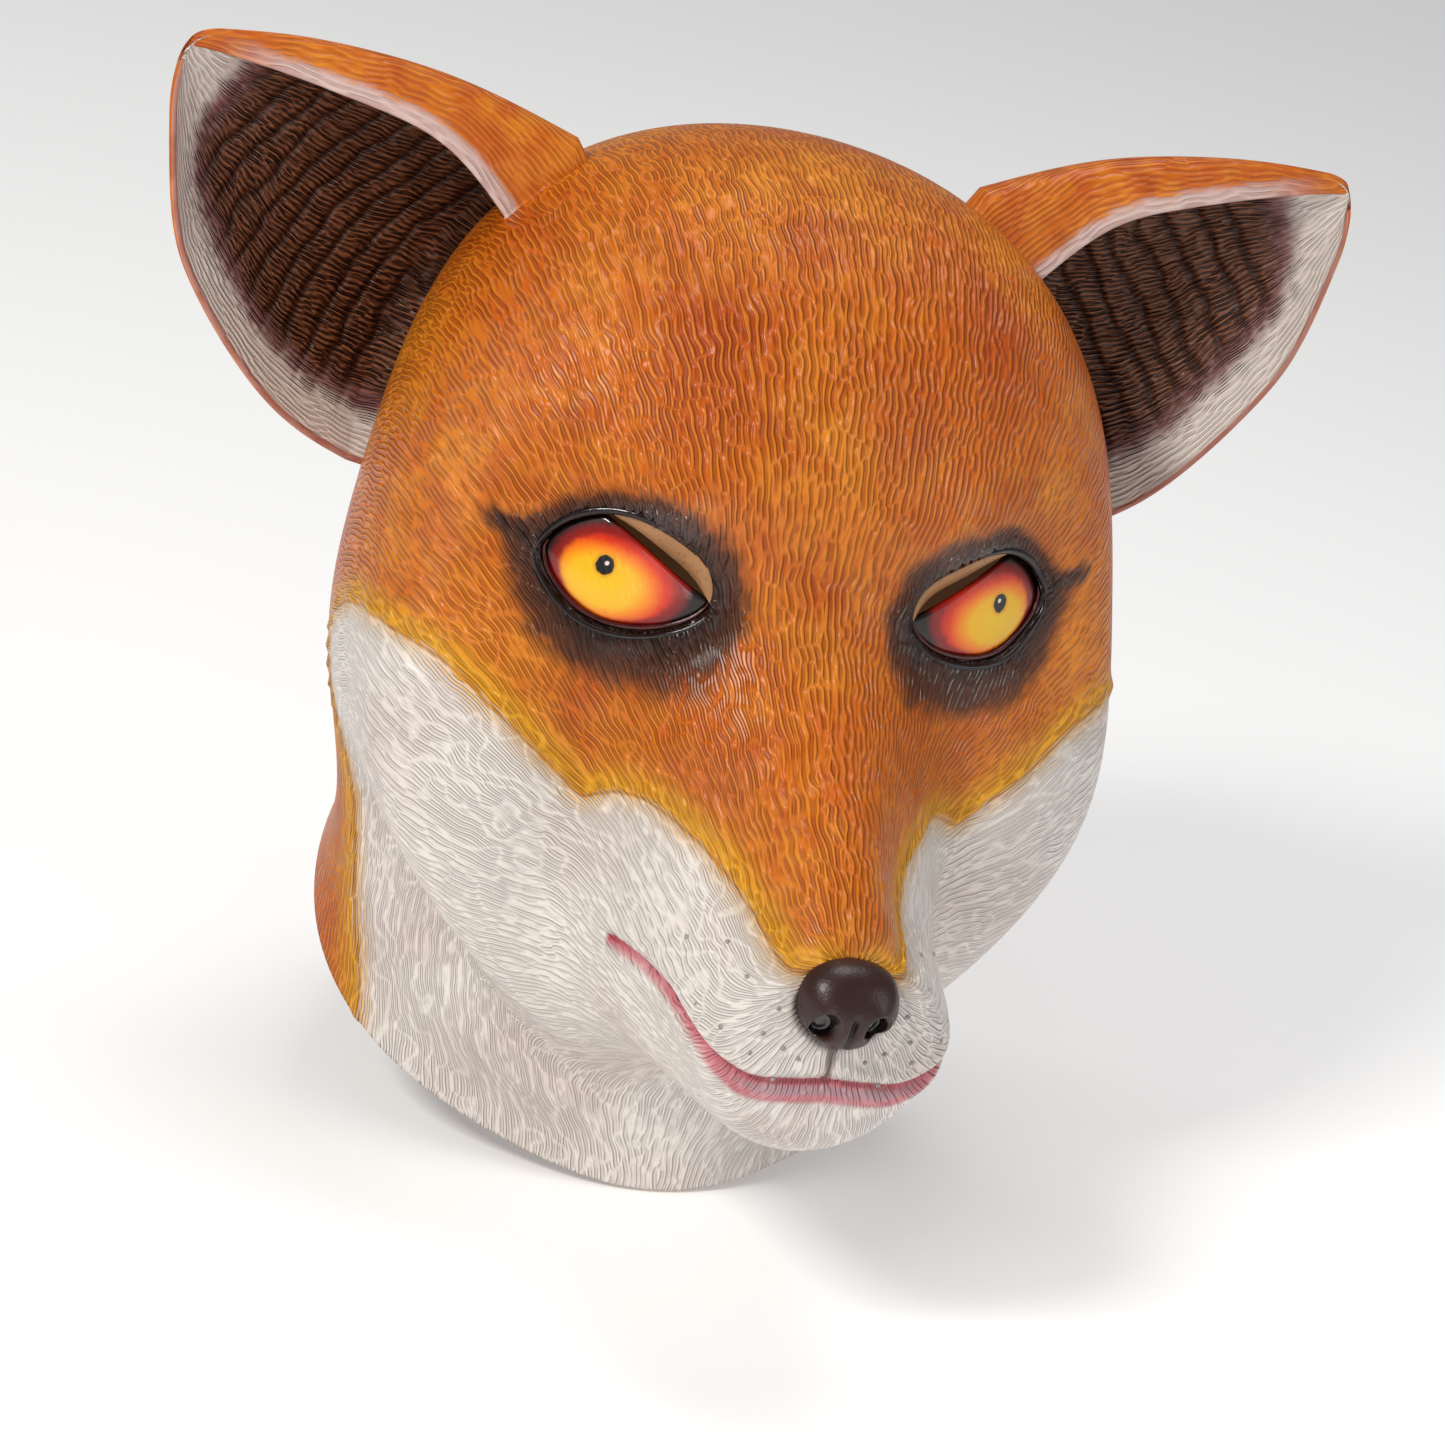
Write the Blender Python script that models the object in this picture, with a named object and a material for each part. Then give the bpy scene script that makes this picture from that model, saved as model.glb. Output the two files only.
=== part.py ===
"""Full-head latex fox mask in its worn shape, modelled in metres, +Z up, with the face looking along -Y.

The shell is a thin wall lofted from the nose seat over the face and skull down to the neck hem, in a
muzzle, a head and a neck part that meet at fine seams. The ears, eyes and nose are thin walls of
their own, each set in or on its seat in the shell. The design frame has its origin between the ears
at eye height. Every object is moved at the end so that the origin is the inside of the crown, where
the wearer's head carries the mask.
"""

import math

import bmesh
import bpy
import numpy as np
from mathutils import Vector
from mathutils.bvhtree import BVHTree

# Driving dimensions of the shell
HEAD_WIDTH = 0.264  # cheek to cheek
MUZZLE_REACH = 0.200  # ear line forward to the nose seat
SKULL_BACK = 0.118  # ear line back to the back of the skull
CROWN_HEIGHT = 0.124  # eye line up to the crown
THROAT_DROP = 0.230  # eye line down to the front of the neck hem
HEM_RISE = 0.08  # share of the loft cut away over the shoulders
WALL = 0.0020  # latex wall
GAP = 0.0003  # clearance between glued pieces
SEAT_GAP = 0.0007  # clearance of the ears and eyes, whose straight facets meet the curved skin

# Driving dimensions of the eyes
EYE_LENGTH = 0.057  # corner to corner of the eye opening
EYE_DROP = 0.016  # lower lid below the line between the corners
EYE_RISE = 0.020  # upper lid above that line
SLIT_WIDTH = 0.0095  # viewing slit between the eye and the upper lid
EYE_BULGE = 0.0045  # eye's crown in front of the skin
EYE_WALL = 0.0020
EYE_EDGE = 0.0008  # bevel around the eye's edge
EYE_LAP = 0.004  # how far the eye's edge reaches behind the lower lid

# Driving dimensions of the nose and ears
NOSE_BULGE = 0.014  # nose pad in front of its seat
NOSE_WALL = 0.0025
NOSE_LAP = 0.005  # share of the loft that the pad's rim covers around the seat
NOSTRIL_WIDTH = 0.009
NOSTRIL_HEIGHT = 0.008
NOSTRIL_DEPTH = 0.005
EAR_LENGTH = 0.150  # ear root to tip
EAR_WALL = 0.0024

# Grid of each piece
SHELL_RINGS, SHELL_SIDE = 38, 22
EYE_SPOKES, EYE_RINGS = 32, 5
NOSE_SPOKES, NOSE_RINGS = 32, 9
EAR_ROWS, EAR_COLUMNS = 11, 21

# Parts of the shell from the nose back, with the share of the rings where each one ends
SHELL_PARTS = {"muzzle_shell": 0.19, "head_shell": 0.65, "neck_shell": 1.0}

# Loft sections from the nose seat to the neck hem. Each is a closed ring in the plane through its
# top and bottom points, which are shares of the reach, back, height and drop above. The last four
# columns are the ring's radii at 36, 72, 108 and 144 degrees from its top, as shares of half the
# head's width.
SECTION_COLUMNS = ("top_y", "top_z", "bottom_y", "bottom_z", "r36", "r72", "r108", "r144")
SECTIONS = {
    "nose seat": (-1.005, -0.350, -1.010, -0.460, 0.095, 0.107, 0.102, 0.092),
    "muzzle front": (-0.972, -0.302, -0.995, -0.630, 0.225, 0.250, 0.290, 0.285),
    "muzzle fore": (-0.875, -0.235, -0.880, -0.690, 0.280, 0.300, 0.345, 0.370),
    "muzzle middle": (-0.755, -0.165, -0.740, -0.700, 0.345, 0.345, 0.390, 0.450),
    "muzzle root": (-0.640, -0.080, -0.610, -0.710, 0.455, 0.410, 0.450, 0.540),
    "eye corners": (-0.555, 0.040, -0.520, -0.735, 0.570, 0.495, 0.520, 0.640),
    "cheek front": (-0.515, 0.290, -0.465, -0.760, 0.710, 0.620, 0.680, 0.770),
    "face": (-0.430, 0.580, -0.435, -0.785, 0.860, 0.750, 0.850, 0.920),
    "temples": (-0.250, 0.850, -0.415, -0.810, 1.080, 0.950, 0.980, 1.020),
    "ears": (0.080, 1.000, -0.400, -0.835, 1.210, 1.030, 1.020, 1.080),
    "crown back": (0.530, 0.900, -0.390, -0.865, 1.200, 1.020, 1.010, 1.060),
    "skull back": (0.920, 0.480, -0.385, -0.890, 1.080, 0.930, 0.960, 1.020),
    "nape": (1.000, -0.050, -0.380, -0.920, 0.940, 0.840, 0.920, 0.960),
    "neck": (0.930, -0.350, -0.378, -0.950, 0.840, 0.820, 0.890, 0.840),
    "hem": (1.000, -0.700, -0.385, -1.000, 0.880, 0.900, 0.920, 0.780),
}

# Soft forms raised or sunk on the lofted skin of one side. x, the reaches and the height are shares
# of half the head's width, and y and z are shares like those of the sections.
FORM_COLUMNS = ("x", "y", "z", "reach_x", "reach_y", "reach_z", "height")
FORMS = {
    "brow": (0.40, -0.49, 0.26, 0.26, 0.30, 0.13, 0.030),
    "eye hollow": (0.46, -0.47, 0.00, 0.28, 0.40, 0.22, -0.080),
    "cheek pad": (0.74, -0.30, -0.33, 0.30, 0.34, 0.30, 0.045),
    "muzzle valley": (0.45, -0.54, -0.29, 0.12, 0.23, 0.23, -0.030),
    "lip pad": (0.17, -0.90, -0.43, 0.15, 0.23, 0.12, 0.030),
    "jaw valley": (0.72, -0.05, -0.54, 0.27, 0.23, 0.23, -0.045),
}

# Corners of the eye: x as a share of half the head's width, y and z as shares like the sections'.
EYE_INNER = (0.295, -0.53, -0.018)
EYE_OUTER = (0.650, -0.375, 0.030)

# Ear stations from the base on the shell to the tip. Each is a bend through four points: the rolled
# rim, the fold along the top, the back and the outer edge. The points are x, y and z shares of the
# ear's length from its root. The places of the stations are shares of the way to the tip.
EAR_ROOT = (0.742, 0.0, 0.484)
EAR_BENDS = ("rim", "fold", "back", "edge")
EAR_PLACES = (0, 0.3, 0.64, 0.9, 1)
EAR_STATIONS = {
    "base": (-0.05, 0.02, 0.15, -0.17, 0.09, 0.35, 0.04, 0.39, 0.01, 0.22, 0.12, -0.45),
    "low": (0.13, 0.05, 0.32, 0.08, 0.12, 0.43, 0.32, 0.33, 0.13, 0.43, 0.11, -0.33),
    "middle": (0.36, 0.08, 0.40, 0.35, 0.12, 0.48, 0.55, 0.25, 0.21, 0.65, 0.12, -0.07),
    "high": (0.61, 0.10, 0.45, 0.60, 0.11, 0.50, 0.69, 0.17, 0.36, 0.74, 0.11, 0.19),
    "tip": (0.73, 0.10, 0.47, 0.72, 0.11, 0.50, 0.75, 0.12, 0.45, 0.77, 0.11, 0.38),
}


def frame_point(y_share, z_share):
    """Height and depth of a point from its shares of the driving dimensions."""
    y = y_share * np.where(np.asarray(y_share) < 0, MUZZLE_REACH, SKULL_BACK)
    z = z_share * np.where(np.asarray(z_share) < 0, THROAT_DROP, CROWN_HEIGHT)
    return y, z


def placed(shares):
    """A point off the middle plane from its three shares."""
    return np.array([shares[0] * HEAD_WIDTH / 2, *frame_point(shares[1], shares[2])])


def spline(x, knots, values):
    """Natural cubic spline through the rows of values at the knots, read at x."""
    step = np.diff(knots)
    count = len(knots)
    system = np.eye(count)
    right = np.zeros((count, values.shape[1]))
    for i in range(1, count - 1):
        system[i, i - 1 : i + 2] = step[i - 1], 2 * (step[i - 1] + step[i]), step[i]
        slope_after = (values[i + 1] - values[i]) / step[i]
        right[i] = 6 * (slope_after - (values[i] - values[i - 1]) / step[i - 1])
    bend = np.linalg.solve(system, right)
    i = np.clip(np.searchsorted(knots, x) - 1, 0, count - 2)
    h = step[i][:, None]
    a = (knots[i + 1] - x)[:, None] / h
    b = 1 - a
    straight = a * values[i] + b * values[i + 1]
    return straight + ((a**3 - a) * bend[i] + (b**3 - b) * bend[i + 1]) * h**2 / 6


def section_table():
    """Top, bottom and radii of every section in metres, and the knot of each along the loft."""
    column = dict(zip(SECTION_COLUMNS, np.array(list(SECTIONS.values())).T))
    top_y, top_z = frame_point(column["top_y"], column["top_z"])
    bottom_y, bottom_z = frame_point(column["bottom_y"], column["bottom_z"])
    radii = np.column_stack([column[name] for name in ("r36", "r72", "r108", "r144")]) * HEAD_WIDTH / 2
    table = np.column_stack([top_y, top_z, bottom_y, bottom_z, radii])
    travel = np.linalg.norm(np.diff(table[:, :2], axis=0), axis=1)
    widening = np.abs(np.diff(radii[:, 1:3].mean(axis=1)))
    knots = np.concatenate([[0], np.cumsum(travel + widening)])
    return table, knots / knots[-1]


SECTION_TABLE, SECTION_KNOTS = section_table()
RING_ANGLES = np.radians([0, 36, 72, 108, 144, 180])
RING_WAVES = np.linalg.inv(np.cos(np.outer(RING_ANGLES, np.arange(6))))


def loft(u, v):
    """The smooth lofted skin: u runs from nose seat to hem, v from the top of a ring to its bottom."""
    row = spline(u, SECTION_KNOTS, SECTION_TABLE)
    top, bottom = row[:, 0:2], row[:, 2:4]
    half = np.linalg.norm(top - bottom, axis=1) / 2
    upward = (top - bottom) / (2 * half[:, None])
    radii = np.column_stack([half, row[:, 4:8], half])
    angle = math.pi * v
    radius = (radii @ RING_WAVES.T * np.cos(np.outer(angle, np.arange(6)))).sum(axis=1)
    yz = (top + bottom) / 2 + upward * (radius * np.cos(angle))[:, None]
    return np.column_stack([radius * np.sin(angle), yz])


def outward(surface, u, v):
    """Unit normals of a skin function, pointing away from the inside of the head."""
    step = 2e-3
    along = surface(np.minimum(u + step, 1), v) - surface(np.maximum(u - step, 0), v)
    around = surface(u, v + step) - surface(u, v - step)
    normal = np.cross(around, along)
    return normal / np.linalg.norm(normal, axis=1)[:, None]


def skin(u, v):
    """The outer skin on the +X side: the loft, trimmed at the hem, with the soft forms on it."""
    u = u - HEM_RISE * np.sin(math.pi * v) ** 2 * u**6
    here = loft(u, v)
    height = np.zeros(len(here))
    for shares in FORMS.values():
        form = dict(zip(FORM_COLUMNS, shares))
        reach = np.array([form["reach_x"], form["reach_y"], form["reach_z"]]) * HEAD_WIDTH / 2
        away = (here - placed((form["x"], form["y"], form["z"]))) / reach
        height += form["height"] * HEAD_WIDTH / 2 * np.exp(-(away**2).sum(axis=1))
    return here + outward(loft, u, v) * height[:, None]


def grid(first, second):
    """Flattened values of a grid with the first parameter down the rows."""
    a, b = np.meshgrid(first, second, indexing="ij")
    return a.ravel(), b.ravel()


def sheet_faces(rows, columns, closed, start=0):
    """Quads of a rows by columns sheet of vertices, closed around its columns or not."""
    faces = []
    for i in range(rows - 1):
        for j in range(columns if closed else columns - 1):
            k = (j + 1) % columns
            a, b = start + i * columns, start + (i + 1) * columns
            faces.append((a + j, a + k, b + k, b + j))
    return faces


def wall_solid(name, front, back, columns, closed, capped):
    """Closed body between two matching sheets. A capped sheet closes over its last row."""
    rows = len(front) // columns
    count = len(front)
    faces = sheet_faces(rows, columns, closed)
    faces += [tuple(reversed(face)) for face in sheet_faces(rows, columns, closed, count)]
    edges = [list(range(columns))]
    if not capped:
        edges.append([(rows - 1) * columns + j for j in range(columns)])
    if not closed:
        edges += [[i * columns for i in range(rows)], [i * columns + columns - 1 for i in range(rows)]]
    for edge in edges:
        pairs = list(zip(edge, edge[1:])) + ([(edge[-1], edge[0])] if closed else [])
        faces += [(a, b, count + b, count + a) for a, b in pairs]
    verts = np.vstack([front, back])
    if capped:
        last = (rows - 1) * columns
        middles = [front[last:].mean(axis=0), back[last:].mean(axis=0)]
        verts = np.vstack([verts, middles])
        for j in range(columns):
            k = (j + 1) % columns
            faces.append((last + j, last + k, 2 * count))
            faces.append((count + last + k, count + last + j, 2 * count + 1))
    return new_object(name, verts, faces)


def new_object(name, verts, faces):
    """Object from vertices and faces, with its faces turned outward."""
    mesh = bpy.data.meshes.new(name)
    mesh.from_pydata(np.asarray(verts).tolist(), [], faces)
    work = bmesh.new()
    work.from_mesh(mesh)
    bmesh.ops.recalc_face_normals(work, faces=work.faces)
    work.to_mesh(mesh)
    work.free()
    obj = bpy.data.objects.new(name, mesh)
    bpy.context.scene.collection.objects.link(obj)
    return obj


def surface_tree(points, columns, closed):
    """Search tree over a sheet of points."""
    faces = sheet_faces(len(points) // columns, columns, closed)
    return BVHTree.FromPolygons([Vector(p) for p in points], faces)


def unit(vector):
    return vector / np.linalg.norm(vector)


def shell_sheets():
    """Outer and inner sheets of the whole shell, both sides, in rings from the nose seat back."""
    u, v = grid(np.linspace(0, 1, SHELL_RINGS), np.linspace(0, 1, SHELL_SIDE + 1))
    outer = skin(u, v)
    inner = outer - outward(skin, u, v) * WALL
    sheets = []
    for points in (outer, inner):
        side = points.reshape(SHELL_RINGS, SHELL_SIDE + 1, 3)
        side[:, [0, -1], 0] = 0
        other = side[:, -2:0:-1] * [-1, 1, 1]
        sheets.append(np.concatenate([side, other], axis=1).reshape(-1, 3))
    return sheets


def shell_part(sheet, first, last):
    """Rings of a shell sheet from first to last, with a clearance before the first one's seam."""
    rings = sheet.reshape(SHELL_RINGS, -1, 3)[first : last + 1].copy()
    if first:
        step = rings[1] - rings[0]
        rings[0] += step * GAP / np.linalg.norm(step, axis=1)[:, None]
    return rings.reshape(-1, 3)


def eye_axes():
    """Middle of the eye opening and its axes: corner to corner, upward and out of the face."""
    inner, outer = placed(EYE_INNER), placed(EYE_OUTER)
    along = unit(outer - inner)
    out = unit(np.cross(along, (0, -0.15, 1)))
    return (inner + outer) / 2, along, np.cross(out, along), out


def almond(angle):
    """Outline of the eye opening in its own plane, counted from the outer corner over the top."""
    across, rise = np.cos(angle), np.sin(angle)
    height = np.where(rise > 0, EYE_RISE, EYE_DROP)
    return np.column_stack([across * EYE_LENGTH / 2, rise * np.abs(rise) ** 0.25 * height])


def dome(flat):
    """Height of the eye's dome over points of its plane: 1 in the middle, 0 from the outline out."""
    across = np.clip(1 - (2 * flat[:, 0] / EYE_LENGTH) ** 2, 1e-6, 1)
    limit = across**0.625 * np.where(flat[:, 1] > 0, EYE_RISE, EYE_DROP)
    return np.clip(across * (1 - (flat[:, 1] / limit) ** 2), 0, 1) ** 0.6


def eye_opening(name, side):
    """Cutter through the shell in the outline of one eye opening."""
    middle, along, up, out = (mirrored(vector, side) for vector in eye_axes())
    flat = almond(np.linspace(0, 2 * math.pi, 40, endpoint=False))
    ring = middle + flat[:, :1] * along + flat[:, 1:] * up
    front = ring + out * EYE_LENGTH / 2
    back = ring - out * EYE_LENGTH / 2
    count = len(ring)
    faces = [tuple(range(count)), tuple(range(2 * count - 1, count - 1, -1))]
    faces += [(i, (i + 1) % count, count + (i + 1) % count, count + i) for i in range(count)]
    return new_object(name, np.vstack([front, back]), faces)


def eye_sheets(inside):
    """Front and back sheets of one eye, seated behind the lower lid and free under the upper one."""
    middle, along, up, out = eye_axes()
    angle = np.linspace(0, 2 * math.pi, EYE_SPOKES, endpoint=False)
    outline = almond(angle)
    step = almond(angle + 1e-3) - almond(angle - 1e-3)
    inward = np.column_stack([-step[:, 1], step[:, 0]]) / np.linalg.norm(step, axis=1)[:, None]
    free = np.clip(np.cos((angle - math.radians(120)) * 1.3), 0, 1) ** 0.7
    free[angle > math.pi * 1.1] = 0
    rim = -EYE_LAP + (EYE_LAP + SLIT_WIDTH) * free
    seat = np.maximum(rim + EYE_EDGE, 2 * GAP)
    rows = [outline + inward * rim[:, None], outline + inward * seat[:, None]]
    centre = np.array([0, -0.15 * EYE_DROP])
    for share in [*np.linspace(0, 1, EYE_RINGS)[1:-1], 0.95]:
        rows.append(rows[1] * (1 - share) + centre * share)
    flat = np.vstack(rows)
    lifts = dome(flat)
    lifts[: 2 * EYE_SPOKES] *= np.tile(np.clip((rim - 0.25 * EYE_LAP) / EYE_LAP, 0, 1), 2)
    front = []
    for (s, t), lift in zip(flat, lifts):
        start = middle + s * along + t * up + out * EYE_LENGTH
        hit = inside.ray_cast(Vector(start), Vector(-out))[0]
        front.append(np.array(hit) + out * (lift * (WALL + EYE_BULGE) - SEAT_GAP))
    front = np.array(front)
    return front, front - out * EYE_WALL


def nose_sheets():
    """Front and back sheets of the nose pad, lapping over the rim of its seat."""
    v = np.linspace(0, 2, NOSE_SPOKES, endpoint=False)
    sign = np.where(v > 1, -1, 1)[:, None] * [1, 0, 0] + [0, 1, 1]
    v = np.where(v > 1, 2 - v, v)
    lap = skin(np.full(len(v), NOSE_LAP), v) * sign
    normal = outward(skin, np.full(len(v), NOSE_LAP), v) * sign
    edge = skin(np.zeros(len(v)), v) * sign
    seat_out = unit(np.cross((1, 0, 0), edge[0] - edge[NOSE_SPOKES // 2]))
    middle = lap.mean(axis=0)
    front = [lap + normal * (GAP + 0.4 * NOSE_WALL)]
    back = [lap + normal * GAP]
    for share in np.linspace(0, 1, NOSE_RINGS)[1:-1]:
        turn = share * math.pi / 2
        flat = middle + (lap - middle) * (1.04 * math.cos(turn * 0.97))
        front.append(flat + seat_out * NOSE_BULGE * math.sin(turn) ** 0.8)
    front = np.vstack(front)
    reach = np.array([NOSTRIL_WIDTH / 2, NOSE_BULGE, NOSTRIL_HEIGHT / 2])
    for side in (-1, 1):
        hole = middle + seat_out * NOSE_BULGE + [side * NOSTRIL_WIDTH, 0, -NOSTRIL_HEIGHT / 2]
        away = np.linalg.norm((front - hole) / reach, axis=1)
        front = front - seat_out * (NOSTRIL_DEPTH * np.exp(-(away**2)))[:, None]
    back.append(edge + seat_out * 2 * GAP + (middle - edge) * 0.04)
    inner = front.reshape(NOSE_RINGS - 1, NOSE_SPOKES, 3)
    for row in inner[2:]:
        back.append(middle + (row - middle) * 0.86 - seat_out * NOSE_WALL * 0.6)
    return front, np.vstack(back)


def ear_sheets(outside):
    """Front and back sheets of one ear, seated on the shell at its base."""
    stations = np.array(list(EAR_STATIONS.values())) * EAR_LENGTH
    along = np.linspace(0, 1, EAR_ROWS) ** 0.9
    rows = spline(along, np.array(EAR_PLACES), stations)
    across = np.linspace(0, 1, EAR_COLUMNS)
    sheet = []
    for row in rows:
        bend = row.reshape(len(EAR_BENDS), 3)
        travel = np.concatenate([[0], np.cumsum(np.linalg.norm(np.diff(bend, axis=0), axis=1))])
        sheet.append(spline(across * travel[-1], travel, bend) + placed(EAR_ROOT))
    back = np.vstack(sheet)
    square = back.reshape(EAR_ROWS, EAR_COLUMNS, 3)
    normal = np.cross(np.gradient(square, axis=1), np.gradient(square, axis=0)).reshape(-1, 3)
    normal /= np.linalg.norm(normal, axis=1)[:, None]
    front = back + normal * EAR_WALL
    for sheet in (front, back):
        for k, point in enumerate(sheet):
            spot, away, _, _ = outside.find_nearest(Vector(point))
            if k < EAR_COLUMNS or (Vector(point) - spot).dot(away) < 4 * GAP:
                sheet[k] = np.array(spot + away * (SEAT_GAP if k < EAR_COLUMNS else 4 * GAP))
    return front, back


def mirrored(points, side):
    return points * [side, 1, 1]


def cut(obj, cutters):
    """Cut the eye openings through the shell and keep the result as its mesh."""
    for cutter in cutters:
        step = obj.modifiers.new(cutter.name, "BOOLEAN")
        step.operation = "DIFFERENCE"
        step.solver = "EXACT"
        step.object = cutter
    view = bpy.context.evaluated_depsgraph_get()
    mesh = bpy.data.meshes.new_from_object(obj.evaluated_get(view))
    obj.modifiers.clear()
    obj.data = mesh
    for cutter in cutters:
        bpy.data.objects.remove(cutter, do_unlink=True)


def paint(obj, name, color, roughness):
    material = bpy.data.materials.get(name) or bpy.data.materials.new(name)
    material.use_nodes = True
    shader = material.node_tree.nodes["Principled BSDF"]
    shader.inputs["Base Color"].default_value = (*color, 1)
    shader.inputs["Roughness"].default_value = roughness
    shader.inputs["Metallic"].default_value = 0
    obj.data.materials.clear()
    obj.data.materials.append(material)
    obj.data.shade_smooth()


def crown_seat():
    """Inside of the crown on the middle plane, where the head carries the mask."""
    line = skin(np.linspace(0, 1, 400), np.zeros(400))
    top = line[line[:, 2].argmax()]
    return np.array([0, top[1], top[2] - WALL])


def main():
    for obj in list(bpy.data.objects):
        bpy.data.objects.remove(obj, do_unlink=True)
    ring = 2 * SHELL_SIDE
    outer, inner = shell_sheets()
    outside = surface_tree(outer, ring, True)
    inside = surface_tree(inner, ring, True)
    first = 0
    for name, share in SHELL_PARTS.items():
        last = round(share * (SHELL_RINGS - 1))
        sheets = [shell_part(sheet, first, last) for sheet in (outer, inner)]
        shell = wall_solid(name, *sheets, ring, True, False)
        if name == "head_shell":
            cut(shell, [eye_opening("opening_left", 1), eye_opening("opening_right", -1)])
        paint(shell, "orange_latex", (0.60, 0.16, 0.015), 0.55)
        first = last
    eye_front, eye_back = eye_sheets(inside)
    ear_front, ear_back = ear_sheets(outside)
    for side, suffix in ((1, "left"), (-1, "right")):
        eye = wall_solid(
            "eye_" + suffix, mirrored(eye_front, side), mirrored(eye_back, side), EYE_SPOKES, True, True
        )
        paint(eye, "eye_paint", (0.80, 0.14, 0.01), 0.15)
        ear = wall_solid(
            "ear_" + suffix, mirrored(ear_front, side), mirrored(ear_back, side), EAR_COLUMNS, False, False
        )
        paint(ear, "orange_latex", (0.60, 0.16, 0.015), 0.55)
    nose_front, nose_back = nose_sheets()
    nose = wall_solid("nose", nose_front, nose_back, NOSE_SPOKES, True, True)
    paint(nose, "nose_latex", (0.03, 0.012, 0.01), 0.3)
    seat = crown_seat()
    for obj in bpy.data.objects:
        for vertex in obj.data.vertices:
            vertex.co -= Vector(seat)


main()
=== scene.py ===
import math

import bpy
import numpy as np
from mathutils import Matrix, Vector
from mathutils.bvhtree import BVHTree


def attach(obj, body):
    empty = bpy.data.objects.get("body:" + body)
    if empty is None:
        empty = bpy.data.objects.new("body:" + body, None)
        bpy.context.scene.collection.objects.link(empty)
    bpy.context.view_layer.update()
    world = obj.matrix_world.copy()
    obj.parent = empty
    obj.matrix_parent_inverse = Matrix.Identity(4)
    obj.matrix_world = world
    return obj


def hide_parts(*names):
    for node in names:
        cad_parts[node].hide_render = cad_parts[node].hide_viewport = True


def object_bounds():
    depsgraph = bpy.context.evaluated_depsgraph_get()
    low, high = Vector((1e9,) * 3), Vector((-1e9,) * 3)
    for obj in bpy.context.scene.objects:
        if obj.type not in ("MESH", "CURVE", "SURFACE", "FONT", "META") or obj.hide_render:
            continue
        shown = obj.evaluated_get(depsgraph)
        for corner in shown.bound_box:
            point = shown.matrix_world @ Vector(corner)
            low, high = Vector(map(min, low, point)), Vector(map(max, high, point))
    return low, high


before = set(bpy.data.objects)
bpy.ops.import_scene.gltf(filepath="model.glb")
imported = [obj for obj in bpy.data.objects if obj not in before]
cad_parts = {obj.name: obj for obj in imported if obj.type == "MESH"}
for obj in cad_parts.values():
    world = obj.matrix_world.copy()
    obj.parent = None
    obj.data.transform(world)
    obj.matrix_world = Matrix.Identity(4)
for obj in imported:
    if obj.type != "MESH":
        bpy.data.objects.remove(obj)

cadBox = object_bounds()
print("frame loaded")

mm = 0.001

# Sizes of the head, the same as those of its solids. Each section is a ring of the skin from the
# nose seat to the neck hem: the y and z shares of its top and bottom, then four radii down its side.
head = {
    "width": 0.264,
    "muzzleReach": 0.200,
    "skullBack": 0.118,
    "crownHeight": 0.124,
    "throatDrop": 0.230,
    "hemRise": 0.08,
    "wall": 0.0020,
    "sections": {
        "nose seat": (-1.005, -0.350, -1.010, -0.460, 0.095, 0.107, 0.102, 0.092),
        "muzzle front": (-0.972, -0.302, -0.995, -0.630, 0.225, 0.250, 0.290, 0.285),
        "muzzle fore": (-0.875, -0.235, -0.880, -0.690, 0.280, 0.300, 0.345, 0.370),
        "muzzle middle": (-0.755, -0.165, -0.740, -0.700, 0.345, 0.345, 0.390, 0.450),
        "muzzle root": (-0.640, -0.080, -0.610, -0.710, 0.455, 0.410, 0.450, 0.540),
        "eye corners": (-0.555, 0.040, -0.520, -0.735, 0.570, 0.495, 0.520, 0.640),
        "cheek front": (-0.515, 0.290, -0.465, -0.760, 0.710, 0.620, 0.680, 0.770),
        "face": (-0.430, 0.580, -0.435, -0.785, 0.860, 0.750, 0.850, 0.920),
        "temples": (-0.250, 0.850, -0.415, -0.810, 1.080, 0.950, 0.980, 1.020),
        "ears": (0.080, 1.000, -0.400, -0.835, 1.210, 1.030, 1.020, 1.080),
        "crown back": (0.530, 0.900, -0.390, -0.865, 1.200, 1.020, 1.010, 1.060),
        "skull back": (0.920, 0.480, -0.385, -0.890, 1.080, 0.930, 0.960, 1.020),
        "nape": (1.000, -0.050, -0.380, -0.920, 0.940, 0.840, 0.920, 0.960),
        "neck": (0.930, -0.350, -0.378, -0.950, 0.840, 0.820, 0.890, 0.840),
        "hem": (1.000, -0.700, -0.385, -1.000, 0.880, 0.900, 0.920, 0.780),
    },
    # soft forms: x, y, z, their reach along each, and their height
    "forms": {
        "brow": (0.40, -0.49, 0.26, 0.26, 0.30, 0.13, 0.030),
        "eye hollow": (0.46, -0.47, 0.00, 0.28, 0.40, 0.22, -0.080),
        "cheek pad": (0.74, -0.30, -0.33, 0.30, 0.34, 0.30, 0.045),
        "muzzle valley": (0.45, -0.54, -0.29, 0.12, 0.23, 0.23, -0.030),
        "lip pad": (0.17, -0.90, -0.43, 0.15, 0.23, 0.12, 0.030),
        "jaw valley": (0.72, -0.05, -0.54, 0.27, 0.23, 0.23, -0.045),
    },
}


def framePoint(yShare, zShare):
    y = yShare * np.where(np.asarray(yShare) < 0, head["muzzleReach"], head["skullBack"])
    z = zShare * np.where(np.asarray(zShare) < 0, head["throatDrop"], head["crownHeight"])
    return y, z


def placed(shares):
    return np.array([shares[0] * head["width"] / 2, *framePoint(shares[1], shares[2])])


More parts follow.
